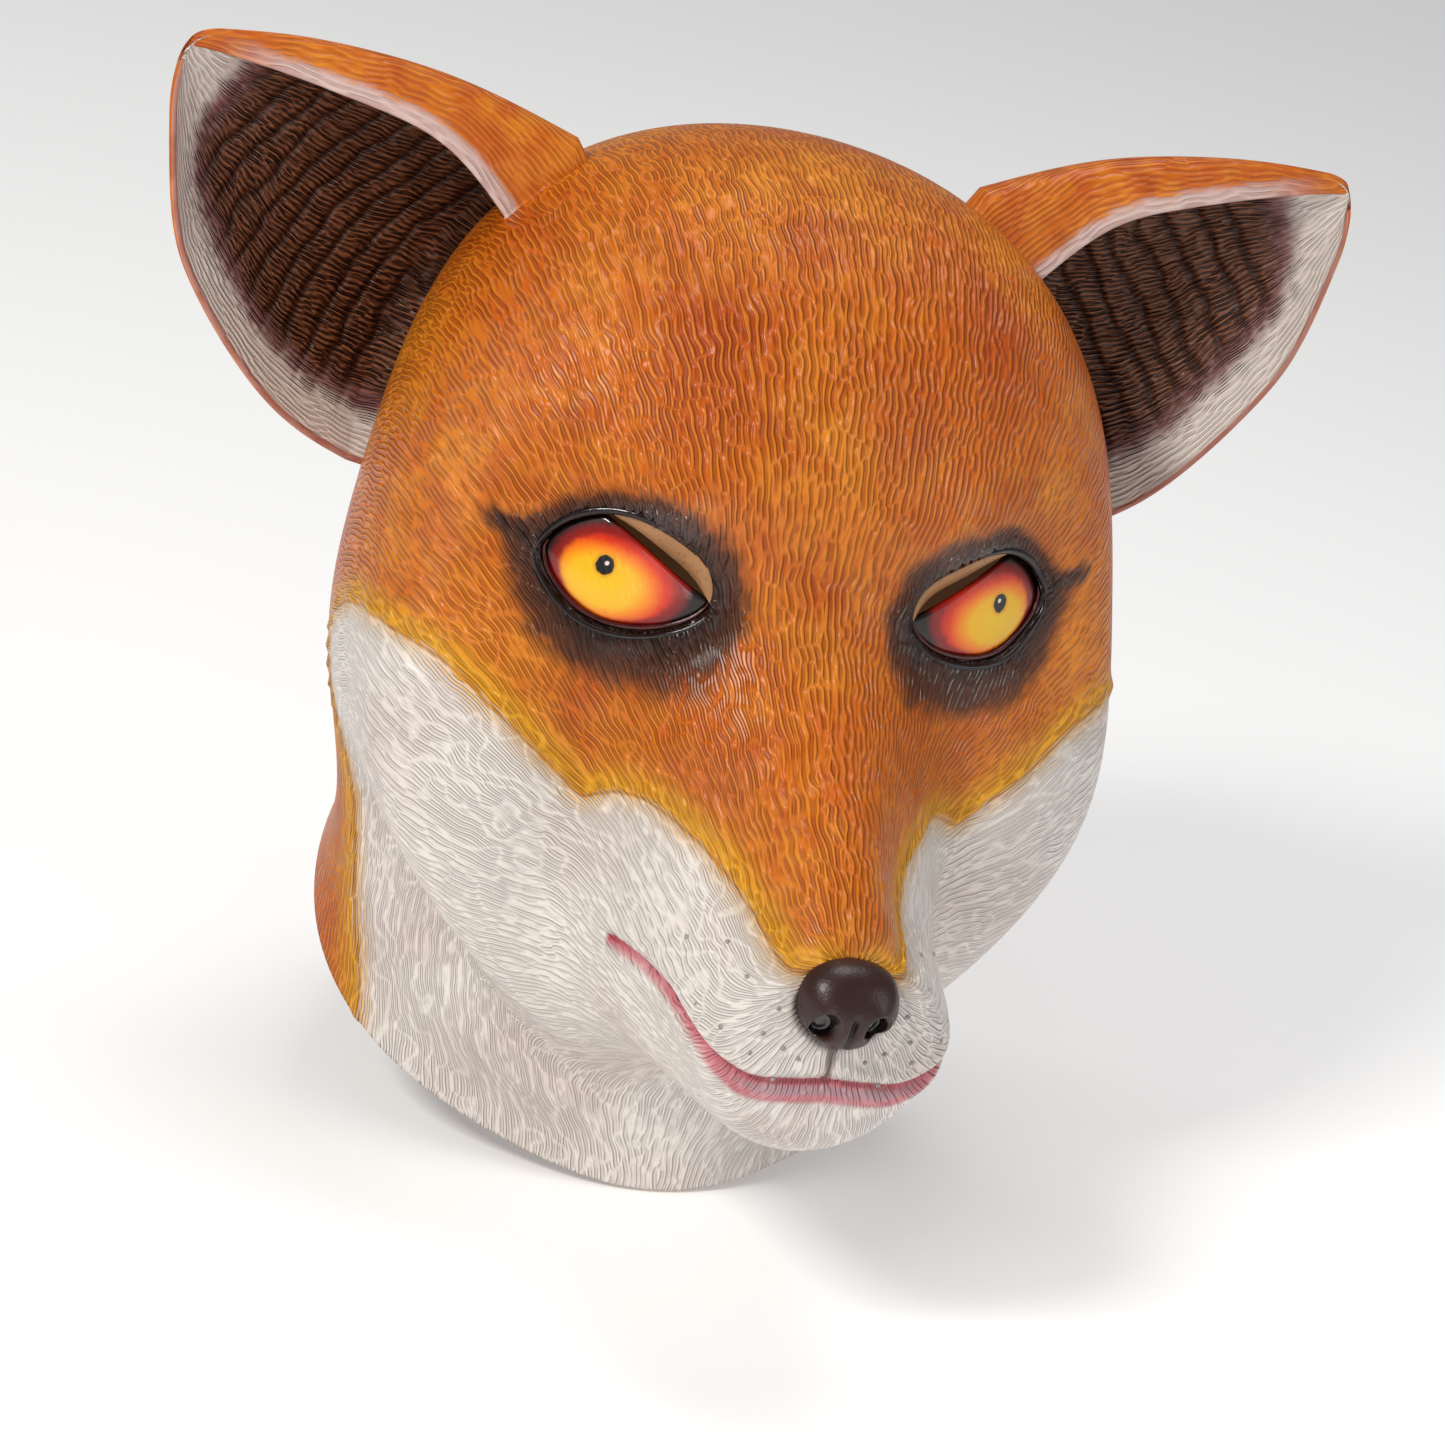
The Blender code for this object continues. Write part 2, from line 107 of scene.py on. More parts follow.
# natural cubic spline through the rows of values at the knots, read at x
def spline(x, knots, values):
    step = np.diff(knots)
    count = len(knots)
    system = np.eye(count)
    right = np.zeros((count, values.shape[1]))
    for i in range(1, count - 1):
        system[i, i - 1 : i + 2] = step[i - 1], 2 * (step[i - 1] + step[i]), step[i]
        right[i] = 6 * ((values[i + 1] - values[i]) / step[i] - (values[i] - values[i - 1]) / step[i - 1])
    bend = np.linalg.solve(system, right)
    i = np.clip(np.searchsorted(knots, x) - 1, 0, count - 2)
    h = step[i][:, None]
    a = (knots[i + 1] - x)[:, None] / h
    b = 1 - a
    return a * values[i] + b * values[i + 1] + ((a**3 - a) * bend[i] + (b**3 - b) * bend[i + 1]) * h**2 / 6


def sectionTable():
    rows = np.array(list(head["sections"].values()))
    radii = rows[:, 4:] * head["width"] / 2
    table = np.column_stack([*framePoint(rows[:, 0], rows[:, 1]), *framePoint(rows[:, 2], rows[:, 3]), radii])
    travel = np.linalg.norm(np.diff(table[:, :2], axis=0), axis=1)
    widening = np.abs(np.diff(radii[:, 1:3].mean(axis=1)))
    knots = np.concatenate([[0], np.cumsum(travel + widening)])
    return table, knots / knots[-1]


sections, sectionKnots = sectionTable()
ringWaves = np.linalg.inv(np.cos(np.outer(np.radians([0, 36, 72, 108, 144, 180]), np.arange(6))))


# the smooth head: u from nose seat to hem, v from the top of a ring to its bottom
def loft(u, v):
    row = spline(u, sectionKnots, sections)
    top, bottom = row[:, 0:2], row[:, 2:4]
    half = np.linalg.norm(top - bottom, axis=1) / 2
    upward = (top - bottom) / (2 * half[:, None])
    radii = np.column_stack([half, row[:, 4:8], half])
    angle = math.pi * v
    radius = (radii @ ringWaves.T * np.cos(np.outer(angle, np.arange(6)))).sum(axis=1)
    yz = (top + bottom) / 2 + upward * (radius * np.cos(angle))[:, None]
    return np.column_stack([radius * np.sin(angle), yz])


def slopes(surface, u, v):
    step = 2e-3
    along = surface(np.minimum(u + step, 1), v) - surface(np.maximum(u - step, 0), v)
    around = surface(u, v + step) - surface(u, v - step)
    return along, around


def units(vectors):
    return vectors / np.maximum(np.linalg.norm(vectors, axis=-1, keepdims=True), 1e-12)


def outward(surface, u, v):
    along, around = slopes(surface, u, v)
    return units(np.cross(around, along))


# the outer skin on the +X side, trimmed at the hem, with the soft forms on it
def skin(u, v):
    u = u - head["hemRise"] * np.sin(math.pi * v) ** 2 * u**6
    here = loft(u, v)
    height = np.zeros(len(here))
    for shares in head["forms"].values():
        away = (here - placed(shares)) / (np.array(shares[3:6]) * head["width"] / 2)
        height += shares[6] * head["width"] / 2 * np.exp(-(away**2).sum(axis=1))
    return here + outward(loft, u, v) * height[:, None]


def crownSeat():
    line = skin(np.linspace(0, 1, 400), np.zeros(400))
    top = line[line[:, 2].argmax()]
    return np.array([0, top[1], top[2] - head["wall"]])


seat = crownSeat()


# ---- eyes: the opening, the dome in it and its lids, measured in the plane of the corners
eyes = {
    "inner": (0.295, -0.53, -0.018),
    "outer": (0.650, -0.375, 0.030),
    "length": 0.057,
    "drop": 0.016,
    "rise": 0.020,
    "slit": 0.0095,
    "bulge": 0.0045,
    "lap": 0.004,
    "wall": 0.0020,
    "seatGap": 0.0007,
}


def eyeAxes():
    inner, outer = placed(eyes["inner"]), placed(eyes["outer"])
    along = units(outer - inner)
    out = units(np.cross(along, (0, -0.15, 1)))
    return (inner + outer) / 2, along, np.cross(out, along), out


def almond(angle):
    across, rise = np.cos(angle), np.sin(angle)
    height = np.where(rise > 0, eyes["rise"], eyes["drop"])
    return np.column_stack([across * eyes["length"] / 2, rise * np.abs(rise) ** 0.25 * height])


def eyePlane(points):
    middle, along, up, out = eyeAxes()
    return np.column_stack([(points - middle) @ along, (points - middle) @ up, (points - middle) @ out])


# distance from points of the eye's plane to the opening's outline, below zero inside, and the
# nearest point of the outline
def fromAlmond(flat):
    outline = almond(np.linspace(0, 2 * math.pi, 721))
    away = np.linalg.norm(flat[:, None] - outline[None], axis=2)
    nearest = away.argmin(axis=1)
    across = np.clip(1 - (2 * flat[:, 0] / eyes["length"]) ** 2, 0, 1)
    limit = across**0.625 * np.where(flat[:, 1] > 0, eyes["rise"], eyes["drop"])
    inside = (across > 0) & (np.abs(flat[:, 1]) < limit)
    return np.where(inside, -1, 1) * away.min(axis=1), outline[nearest]


# ---- tools for meshes
def sheetFaces(rows, columns, closed):
    i, j = np.meshgrid(np.arange(rows - 1), np.arange(columns if closed else columns - 1), indexing="ij")
    k = (j + 1) % columns
    corners = [i * columns + j, i * columns + k, (i + 1) * columns + k, (i + 1) * columns + j]
    return np.stack(corners, axis=-1).reshape(-1, 4)


def treeOf(points, columns, closed):
    faces = sheetFaces(len(points) // columns, columns, closed)
    return BVHTree.FromPolygons([Vector(p) for p in points.tolist()], faces.tolist())


# a mesh object in the row frame from points in the design frame, with its named point values
def meshPiece(name, points, faces, values=None, flip=False):
    mesh = bpy.data.meshes.new(name)
    faces = [tuple(reversed(f)) for f in faces] if flip else [tuple(f) for f in faces]
    mesh.from_pydata((np.asarray(points) - seat).tolist(), [], faces)
    for key, value in (values or {}).items():
        value = np.asarray(value, dtype=float)
        kind, field = ("FLOAT", "value") if value.ndim == 1 else ("FLOAT_VECTOR", "vector")
        mesh.attributes.new(key, kind, "POINT").data.foreach_set(field, value.ravel())
    mesh.shade_smooth()
    piece = bpy.data.objects.new(name, mesh)
    bpy.context.scene.collection.objects.link(piece)
    return piece


def wear(piece, nodes, slot, *materials):
    for material in materials:
        piece.data.materials.append(material)
    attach(piece, "root")
    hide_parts(*nodes)


# signed distance from points to a path on the skin, above zero on its upper side as it runs forward
def fromPath(points, normals, path):
    best = np.full(len(points), 1e3)
    signed = np.zeros(len(points))
    place = np.zeros(len(points))
    for k in range(len(path) - 1):
        a, way = path[k], path[k + 1] - path[k]
        t = np.clip((points - a) @ way / (way @ way), 0, 1)
        off = points - a - t[:, None] * way
        away = np.linalg.norm(off, axis=1)
        nearer = away < best
        side = -np.sign((np.cross(way, off) * normals).sum(axis=1))
        signed = np.where(nearer, np.where(side == 0, 1, side) * away, signed)
        place = np.where(nearer, (k + t) / (len(path) - 1), place)
        best = np.where(nearer, away, best)
    return signed, place


# a path on the skin through (u, v) places
def skinPath(places, count):
    places = np.array(places)
    travel = np.concatenate([[0], np.cumsum(np.linalg.norm(np.diff(skin(*places.T), axis=0), axis=1))])
    fine = spline(np.linspace(0, travel[-1], count), travel, places)
    return skin(fine[:, 0], fine[:, 1])


# places from 0 to 1 whose pitch follows a table of (place, pitch)
def spread(pitches, count):
    fine = np.linspace(0, 1, 3000)
    travel = np.concatenate([[0], np.cumsum(1 / np.interp(fine, *zip(*pitches))[1:])])
    return np.interp(np.linspace(0, travel[-1], count), travel, fine)


def bump(distance, reach):
    return np.exp(-((distance / reach) ** 2))


def smooth(low, high, x):
    t = np.clip((x - low) / (high - low), 0, 1)
    return t * t * (3 - 2 * t)


# ---- materials
# one socket of a material. Operators on it add their Math nodes.
class Wire:
    def __init__(self, paint, socket):
        self.paint, self.socket = paint, socket

    def __add__(self, other):
        return self.paint.sum("ADD", self, other)

    def __radd__(self, other):
        return self.paint.sum("ADD", other, self)

    def __sub__(self, other):
        return self.paint.sum("SUBTRACT", self, other)

    def __rsub__(self, other):
        return self.paint.sum("SUBTRACT", other, self)

    def __mul__(self, other):
        return self.paint.sum("MULTIPLY", self, other)

    def __rmul__(self, other):
        return self.paint.sum("MULTIPLY", other, self)

    def __truediv__(self, other):
        return self.paint.sum("DIVIDE", self, other)

    def __neg__(self):
        return self.paint.sum("MULTIPLY", self, -1)

    # 0 at low and 1 at high, eased, either way round
    def step(self, low, high):
        return self.paint.node(
            "MapRange",
            {"interpolation_type": "SMOOTHSTEP"},
            {"Value": self, "From Min": low, "From Max": high},
        )

    def clamp(self):
        return self.paint.node("Clamp", {}, {"Value": self})


# one material. node() adds any node: its settings go in first, then its sockets.
class Paint:
    def __init__(self, name):
        self.material = bpy.data.materials.new(name)
        self.material.use_nodes = True
        self.tree = self.material.node_tree
        self.shader = self.tree.nodes["Principled BSDF"]

    def node(self, kind, settings, sockets, out=0):
        node = self.tree.nodes.new("ShaderNode" + kind)
        stops = settings.pop("stops", None)
        for key, value in settings.items():
            setattr(node, key, value)
        if stops:
            elements = node.color_ramp.elements
            while len(elements) < len(stops):
                elements.new(0.5)
            for element, (place, color) in zip(elements, stops):
                element.position, element.color = place, (*color, 1)
        for key, value in sockets.items():
            self.feed(node, key, value)
        found = out if isinstance(out, int) else [s.identifier for s in node.outputs].index(out)
        return Wire(self, node.outputs[found])

    def feed(self, node, key, value):
        socket = node.inputs[key] if isinstance(key, int) else None
        if socket is None:
            socket = next(s for s in node.inputs if s.identifier == key or s.name == key)
        if isinstance(value, Wire):
            self.tree.links.new(value.socket, socket)
        elif isinstance(value, tuple) and len(value) == 3 and socket.type == "RGBA":
            socket.default_value = (*value, 1)
        else:
            socket.default_value = value

    def sum(self, operation, first, second):
        return self.node("Math", {"operation": operation}, {0: first, 1: second})

    def vector(self, operation, first, second):
        return self.node("VectorMath", {"operation": operation}, {0: first, 1: second})

    def scaled(self, vector, factor):
        return self.node("VectorMath", {"operation": "SCALE"}, {0: vector, "Scale": factor})

    def mix(self, first, second, factor):
        sockets = {"A_Color": first, "B_Color": second, "Factor_Float": factor}
        return self.node("Mix", {"data_type": "RGBA"}, sockets, "Result_Color")

    def shade(self, first, second, factor):
        sockets = {"A_Color": first, "B_Color": second, "Factor_Float": factor}
        return self.node("Mix", {"data_type": "RGBA", "blend_type": "MULTIPLY"}, sockets, "Result_Color")

    def value(self, name):
        return self.node("Attribute", {"attribute_name": name}, {}, "Fac")

    def direction(self, name):
        return self.node("Attribute", {"attribute_name": name}, {}, "Vector")

    def place(self):
        return self.node("TexCoord", {}, {}, "Object")

    def noise(self, scale, detail=2.0, where=None, out=0, rough=0.5):
        sockets = {"Vector": where or self.place(), "Scale": scale, "Detail": detail, "Roughness": rough}
        return self.node("TexNoise", {}, sockets, out)

    # combed strokes, 0 to 1: turn is the share across the part and girth how wide it is there.
    # Two neighbouring counts of strokes are blended, so that the pitch stays as the part widens.
    def strokes(self, turn, girth, pitch, scale, wander):
        growth = 1.5
        octave = self.node("Math", {"operation": "LOGARITHM"}, {0: girth / pitch, 1: growth})
        low = self.node("Math", {"operation": "FLOOR"}, {0: octave})
        blend = (octave - low).step(0.15, 0.85)
        drift = self.noise(scale, 1.0, self.place(), 1)
        total = 0.0
        for axis, count, strength in (("X", 1.0, 1.3), ("Y", 1.31, 0.75)):
            phase = (self.node("SeparateXYZ", {}, {"Vector": drift}, axis) - 0.5) * wander
            for level, share in ((low, 1 - blend), (low + 1, blend)):
                turns = turn * count * self.sum("POWER", growth, level) + phase
                total = total + self.node("Math", {"operation": "SINE"}, {0: turns * (2 * math.pi)}) * share * strength
        dashes = self.noise(2.6 * scale, 0.0, self.vector("ADD", self.place(), (0.31, 0.17, 0.73)))
        return total * 0.25 * (0.6 + 0.4 * dashes.step(0.25, 0.5)) + 0.5

    def relief(self, height, distance, strength=1.0, normal=None):
        sockets = {"Height": height, "Distance": distance, "Strength": strength}
        if normal:
            sockets["Normal"] = normal
        return self.node("Bump", {}, sockets)

    def finish(self, **sockets):
        for key, value in sockets.items():
            self.feed(self.shader, key.replace("_", " "), value)
        return self.material


# ---- the fox's skin
fur = {
    "orange": (0.55, 0.112, 0.003),
    "lightOrange": (0.72, 0.235, 0.014),
    "rust": (0.31, 0.040, 0.003),
    "red": (0.33, 0.022, 0.003),
    "gold": (0.74, 0.36, 0.014),
    "white": (0.76, 0.70, 0.65),
    # painted shade for the grooves of the white fur
    "shade": (0.42, 0.33, 0.28),
    "pink": (0.58, 0.13, 0.17),
    "lilac": (0.42, 0.30, 0.33),
    "lipRed": (0.45, 0.02, 0.05),
    "lid": (0.016, 0.005, 0.002),
    "brown": (0.085, 0.022, 0.006),
    "rawLatex": (0.46, 0.27, 0.13),
    "pitch": 2.7,  # in mm, like every value the shaders read
    "finePitch": 2.1,
    "waves": 82,
    "wander": 2.7,
    "depth": 0.95 * mm,
    "rows": 232,
    "side": 102,
    "rowPitch": [(0, 0.8), (0.035, 0.9), (0.06, 1.6), (0.2, 2.4), (0.42, 2.6), (0.6, 5.5), (1, 6.5)],
    # where orange meets white, the mouth and the middle of the lower lip, as places on the skin
    "crease": [
        (1.0, 0.65), (0.85, 0.635), (0.75, 0.61), (0.69, 0.575), (0.63, 0.535), (0.577, 0.517), (0.501, 0.503),
        (0.442, 0.486), (0.399, 0.476), (0.349, 0.472), (0.295, 0.464), (0.254, 0.463), (0.233, 0.463),
        (0.220, 0.436), (0.191, 0.372), (0.160, 0.322), (0.120, 0.268), (0.096, 0.243), (0.060, 0.226),
        (0.023, 0.242), (0.0, 0.25),
    ],
    "mouth": [
        (0.172, 0.612), (0.150, 0.590), (0.128, 0.565), (0.108, 0.543), (0.088, 0.527), (0.068, 0.532),
        (0.050, 0.565), (0.038, 0.625), (0.030, 0.705), (0.022, 0.805), (0.018, 0.900), (0.0165, 0.96), (0.016, 1.0),
    ],
    # darker red smears: their middle and reach
    "redPatches": [
        ((-0.041, -0.072, 0.081), 0.030),
        ((0.021, -0.090, 0.063), 0.024),
        ((0.062, -0.060, 0.070), 0.028),
        ((-0.092, -0.020, 0.055), 0.034),
        ((0.096, -0.020, 0.045), 0.034),
        ((-0.066, -0.088, -0.034), 0.018),
        ((0.060, -0.094, -0.040), 0.020),
        ((-0.030, -0.140, -0.040), 0.016),
    ],
}


def skinRows():
    u = spread(fur["rowPitch"], fur["rows"])
    v = np.linspace(0, 1, fur["side"] + 1)
    a, b = np.meshgrid(u, v, indexing="ij")
    return a.ravel(), b.ravel()


# opens the eye in the skin's grid: moves the points around it onto its outline
def fitEyeOpening(points):
    tree = treeOf(points, fur["side"] + 1, False)
    middle, along, up, out = eyeAxes()
    shape = (fur["rows"], fur["side"] + 1)
    plane = eyePlane(points)
    near = (np.abs(plane[:, 2]) < 0.03) & (np.hypot(plane[:, 0], plane[:, 1]) < 0.045)
    gap = np.full(len(points), 1.0)
    gap[near], foot = fromAlmond(plane[near, :2])
    flat = plane[:, :2].copy()
    faces = sheetFaces(*shape, False)
    inside = (gap[faces].mean(axis=1) < 0) & (gap[faces].max(axis=1) < 2.5 * mm)
    used = np.zeros(len(points), bool)
    used[faces[~inside].ravel()] = True
    cut = np.zeros(len(points), bool)
    cut[faces[inside].ravel()] = True
    edge = used & cut
    feet = np.zeros_like(flat)
    feet[near] = foot
    flat[edge] = feet[edge]
    free = near & used & ~edge & (np.abs(gap) < 8 * mm)
    square = flat.reshape(*shape, 2)
    loose = free.reshape(shape)
    for _ in range(12):
        mean = (np.roll(square, 1, 0) + np.roll(square, -1, 0) + np.roll(square, 1, 1) + np.roll(square, -1, 1)) / 4
        square = np.where(loose[..., None], 0.5 * square + 0.5 * mean, square)
    flat = square.reshape(-1, 2)
    for k in np.nonzero(free | edge)[0]:
        start = Vector(middle + flat[k, 0] * along + flat[k, 1] * up + out * 0.04)
        hit = tree.ray_cast(start, Vector(-out))[0]
        points[k] = hit if hit else points[k]
    return points, faces[~inside]


# how dark the skin is around the eye: reach by direction in degrees from the outer corner over the top
lids = {
    "reach": [
        (0, 15), (15, 9), (40, 8), (70, 9), (100, 11), (130, 13), (160, 12), (185, 15), (215, 21), (240, 18),
        (270, 15), (300, 14), (330, 12), (345, 12), (360, 15),
    ],
    "spread": 1.25,
    "tail": 30 * mm,
    "tailSlope": 0.13,
    "lumps": (-10 * mm, 22 * mm, 15 * mm, 9 * mm),
    "beads": {
        "upper": (-4, 118, 1.3, 1.5, "lid"),
        "inner": (176, 372, -0.8, 0.9, "maroon"),
        "outer": (186, 368, 1.7, 1.15, "lid"),
    },
}


def eyeValues(points):
    plane = eyePlane(points)
    away = np.full(len(points), 0.1)
    near = (np.abs(plane[:, 2]) < 0.05) & (np.hypot(plane[:, 0], plane[:, 1]) < 0.08)
    away[near] = fromAlmond(plane[near, :2])[0]
    angle = np.degrees(np.arctan2(plane[:, 1] * 1.3, plane[:, 0])) % 360
    reach = np.interp(angle, *zip(*lids["reach"])) * lids["spread"] * mm
    dark = 1 - np.clip(away / reach, 0, 1)
    past = plane[:, 0] - eyes["length"] / 2
    tailLine = np.abs(plane[:, 1] - lids["tailSlope"] * past - 1 * mm)
    tail = smooth(0, 0.7, 1 - past / lids["tail"]) * bump(tailLine, 2.8 * mm) * 0.85
    tail *= plane[:, 0] > eyes["length"] / 2 - 2 * mm
    s, t, reachS, reachT = lids["lumps"]
    lumps = np.exp(-(((plane[:, 0] - s) / reachS) ** 2) - ((plane[:, 1] - t) / reachT) ** 2) * near
    return away, np.clip(np.maximum(dark, tail * 1.1 * near), 0, 1) * near, lumps


def foxSkin():
    u, v = skinRows()
    points = skin(u, v)
    ringSteps = np.linalg.norm(np.diff(points.reshape(fur["rows"], -1, 3), axis=1), axis=2)
    girth = np.repeat(ringSteps.sum(axis=1), fur["side"] + 1)
    points, faces = fitEyeOpening(points)
    normals = outward(skin, u, v)
    crease, _ = fromPath(points, normals, skinPath(fur["crease"], 160))
    lip, lipPlace = fromPath(points, normals, skinPath(fur["mouth"], 120))
    away, dark, lumps = eyeValues(points)

    height = 1.2 * mm * bump(crease - 1.0 * mm, 1.4 * mm) - 0.5 * mm * smooth(6 * mm, 0, -crease) * (crease < 0)
    openLip = smooth(0, 0.05, lipPlace)
    height += (-2.6 * mm * bump(lip, 1.5 * mm) + 1.3 * mm * bump(lip - 4 * mm, 3.0 * mm)) * (0.35 + 0.65 * openLip)
    height += 1.5 * mm * bump(lip + 4.5 * mm, 3.0 * mm) * openLip
    philtrum = bump(points[:, 0], 1.3 * mm) * (v > 0.8) * smooth(0.0175, 0.014, u)
    height -= 1.6 * mm * philtrum
    height += (1.1 * mm * bump(away - 3.2 * mm, 2.2 * mm)) * smooth(0.1, 0.4, dark)
    height -= 0.8 * mm * bump(away - 6.5 * mm, 1.6 * mm) * (eyePlane(points)[:, 1] > 0) * smooth(0.1, 0.4, dark)
    height += 1.2 * mm * lumps
    points = points + normals * height[:, None]

    shape = (fur["rows"], fur["side"] + 1, -1)

    def bothSides(values, sign):
        square = values.reshape(shape)
        other = square[:, -2:0:-1] * sign
        flat = np.concatenate([square, other], axis=1)
        return flat.reshape(-1, flat.shape[-1]) if values.ndim > 1 else flat.ravel()

    middle = (np.abs(v) < 1e-9) | (np.abs(v - 1) < 1e-9)
    points[middle, 0] = 0
    mirror = np.array([-1, 1, 1])
    full = bothSides(points, mirror)
    ring = 2 * fur["side"]
    allFaces = sheetFaces(fur["rows"], fur["side"] + 1, False)
    keys = {tuple(f) for f in faces.tolist()}
    kept = np.array([tuple(f) in keys for f in allFaces.tolist()]).reshape(fur["rows"] - 1, fur["side"])
    whole = np.concatenate([kept, kept[:, ::-1]], axis=1).ravel()
    ringFaces = sheetFaces(fur["rows"], ring, True)[whole]
    patches = np.zeros(len(full))
    for centre, reach in fur["redPatches"]:
        patches = np.maximum(patches, bump(np.linalg.norm((full - centre) * (1, 1, 0.55), axis=1), reach))
    values = {
        "turn": bothSides(v, 1),
        "girth": bothSides(girth, 1) / mm,
        "crease": bothSides(crease, 1) / mm,
        "lip": bothSides(lip, 1) / mm,
        "lipPlace": bothSides(lipPlace, 1),
        "eyeDarkPaintAndInnerShade": bothSides(dark, 1),
        "lumps": bothSides(lumps, 1),
        "philtrum": bothSides(philtrum, 1),
        "noseRim": bothSides(smooth(0.0068, 0.0036, u), 1),
        "patches": patches,
    }
    return meshPiece("fox_skin", full, ringFaces, values)


def skinLatex():
    p = Paint("painted fox latex")
    crease, lip, lipPlace = p.value("crease"), p.value("lip"), p.value("lipPlace")
    dark, lumps, girth = p.value("eyeDarkPaintAndInnerShade"), p.value("lumps"), p.value("girth")
    pitch = fur["finePitch"] + (fur["pitch"] - fur["finePitch"]) * girth.step(70, 220)
    hair = p.strokes(p.value("turn"), girth, pitch, fur["waves"], fur["wander"]).step(0.15, 0.85)

    cloud = p.noise(16, 3.0)
    blotch = p.noise(34, 4.0, p.vector("ADD", p.place(), (1.7, 0.4, 0.9)))
    streak = p.noise(90, 3.0, p.vector("ADD", p.place(), (0.2, 2.4, 0.9)))
    orange = p.mix(fur["orange"], fur["lightOrange"], (cloud * 0.7 + streak * 0.5).step(0.45, 0.8))
    orange = p.mix(orange, fur["rust"], blotch.step(0.48, 0.75) * 0.42)
    orange = p.mix(orange, fur["red"], (p.value("patches") * (0.5 + streak * 0.8)).step(0.15, 1.0) * 0.5)
    frayed = crease + (hair - 0.5) * 2.2 + (streak - 0.5) * 5.0
    orange = p.mix(orange, fur["gold"], frayed.step(13, 1.5) * 0.85)
    # painted shade in the grooves between the strokes, and a painted highlight on their ridges
    orange = p.shade(orange, (0.50, 0.34, 0.26), hair.step(0.36, 0.0) * 0.6)
    orange = p.mix(orange, fur["lightOrange"], hair.step(0.72, 1.0) * 0.35)

    # painted shade in the grooves between the strokes of the white fur
    white = p.mix(fur["white"], fur["shade"], hair.step(0.34, 0.0) * 0.3)
    white = p.shade(white, (0.86, 0.78, 0.76), p.noise(20, 2.0, p.vector("ADD", p.place(), (4, 1, 2))).step(0.45, 0.7) * 0.6)
    white = p.mix(white, fur["gold"], (crease + (hair - 0.5) * 5 + (streak - 0.5) * 5).step(-8, 1) * 0.6)
    coat = p.mix(white, orange, frayed.step(-1.6, 0.8))
    coat = p.shade(coat, (0.50, 0.30, 0.16), crease.step(-1.4, -0.5) * crease.step(0.7, -0.2) * 0.55)

    onMouth, front = lipPlace.step(0.004, 0.03), lipPlace.step(0.6, 0.85)
    lower = lip + 2.8 + front * 4.6  # from the lower edge of the pink, up
    pink = lower.step(-1.2, 1.6) * lip.step(1.4, 0.0) * onMouth
    coat = p.mix(coat, fur["pink"], (pink * (0.45 + streak)).clamp() * 0.85)
    coat = p.mix(coat, fur["lilac"], lower.step(2.6, 4.2) * lip.step(-0.9, -1.9) * front * onMouth * 0.7)
    corner = lipPlace.step(0.14, 0.0)
    coat = p.mix(coat, fur["lipRed"], lip.step(-1.9, -0.5) * lip.step(1.0, 0.1) * onMouth * (0.35 + 0.65 * corner))
    coat = p.mix(coat, fur["brown"], p.value("philtrum") * 0.8)

    ragged = dark + (streak - 0.5) * 0.6 + (hair - 0.5) * 0.14
    coat = p.mix(coat, fur["brown"], ragged.step(0.0, 0.5) * dark.step(0.0, 0.14))
    coat = p.mix(coat, fur["lid"], ragged.step(0.42, 0.98))
    coat = p.mix(coat, fur["lid"], p.value("noseRim") * 0.9)

    relief = p.relief(hair, fur["depth"])
    relief = p.relief(p.noise(170, 1.0) * (lumps + dark.step(0.3, 0.9) * 0.45), 2.4 * mm, 1.0, relief)
    gloss = (ragged.step(0.35, 0.95) * 0.18 + lumps).clamp()
    rough = 0.35 + (cloud - 0.5) * 0.15 - gloss * 0.18
    return p.finish(
        Base_Color=coat,
        Roughness=rough,
        Specular_IOR_Level=0.34,
        Coat_Weight=gloss * 0.7,
        Coat_Roughness=0.10,
        Normal=relief,
    )


def rawLatex():
    p = Paint("raw latex inside with painted shade at the eyes")
    dark = p.value("eyeDarkPaintAndInnerShade")
    tan = p.mix(fur["rawLatex"], (0.36, 0.19, 0.08), p.noise(60, 4.0))
    # painted shade: the lining goes black around the eyes, where the inside of the mask lies in shadow behind the
    # slits
    tan = p.mix(tan, fur["lid"], dark.step(0.0, 0.35))
    return p.finish(Base_Color=tan, Roughness=0.5, Normal=p.relief(p.noise(500, 3.0), 0.2 * mm, 0.5))


skinPiece = foxSkin()
wall = skinPiece.modifiers.new("wall", "SOLIDIFY")
wall.thickness = head["wall"]
wall.offset = -1
wall.material_offset = 1
wall.material_offset_rim = 1
insideLatex = rawLatex()
furLatex = skinLatex()
wear(skinPiece, ["head_shell", "muzzle_shell", "neck_shell"], "shell_latex", furLatex, insideLatex)
print("skin made", len(skinPiece.data.polygons))


# ---- search trees for what sits on or in the skin, on the +X side
def sideTrees():
    rows, side = 260, 110
    u, v = np.meshgrid(np.linspace(0, 1, rows), np.linspace(0, 1, side + 1), indexing="ij")
    u, v = u.ravel(), v.ravel()
    outer = skin(u, v)
    inner = outer - outward(skin, u, v) * head["wall"]
    return treeOf(outer, side + 1, False), treeOf(inner, side + 1, False)


outerTree, innerTree = sideTrees()


def onSkin(tree, s, t):
    middle, along, up, out = eyeAxes()
    start = Vector(middle + s * along + t * up + out * eyes["length"])
    return np.array(tree.ray_cast(start, Vector(-out))[0])


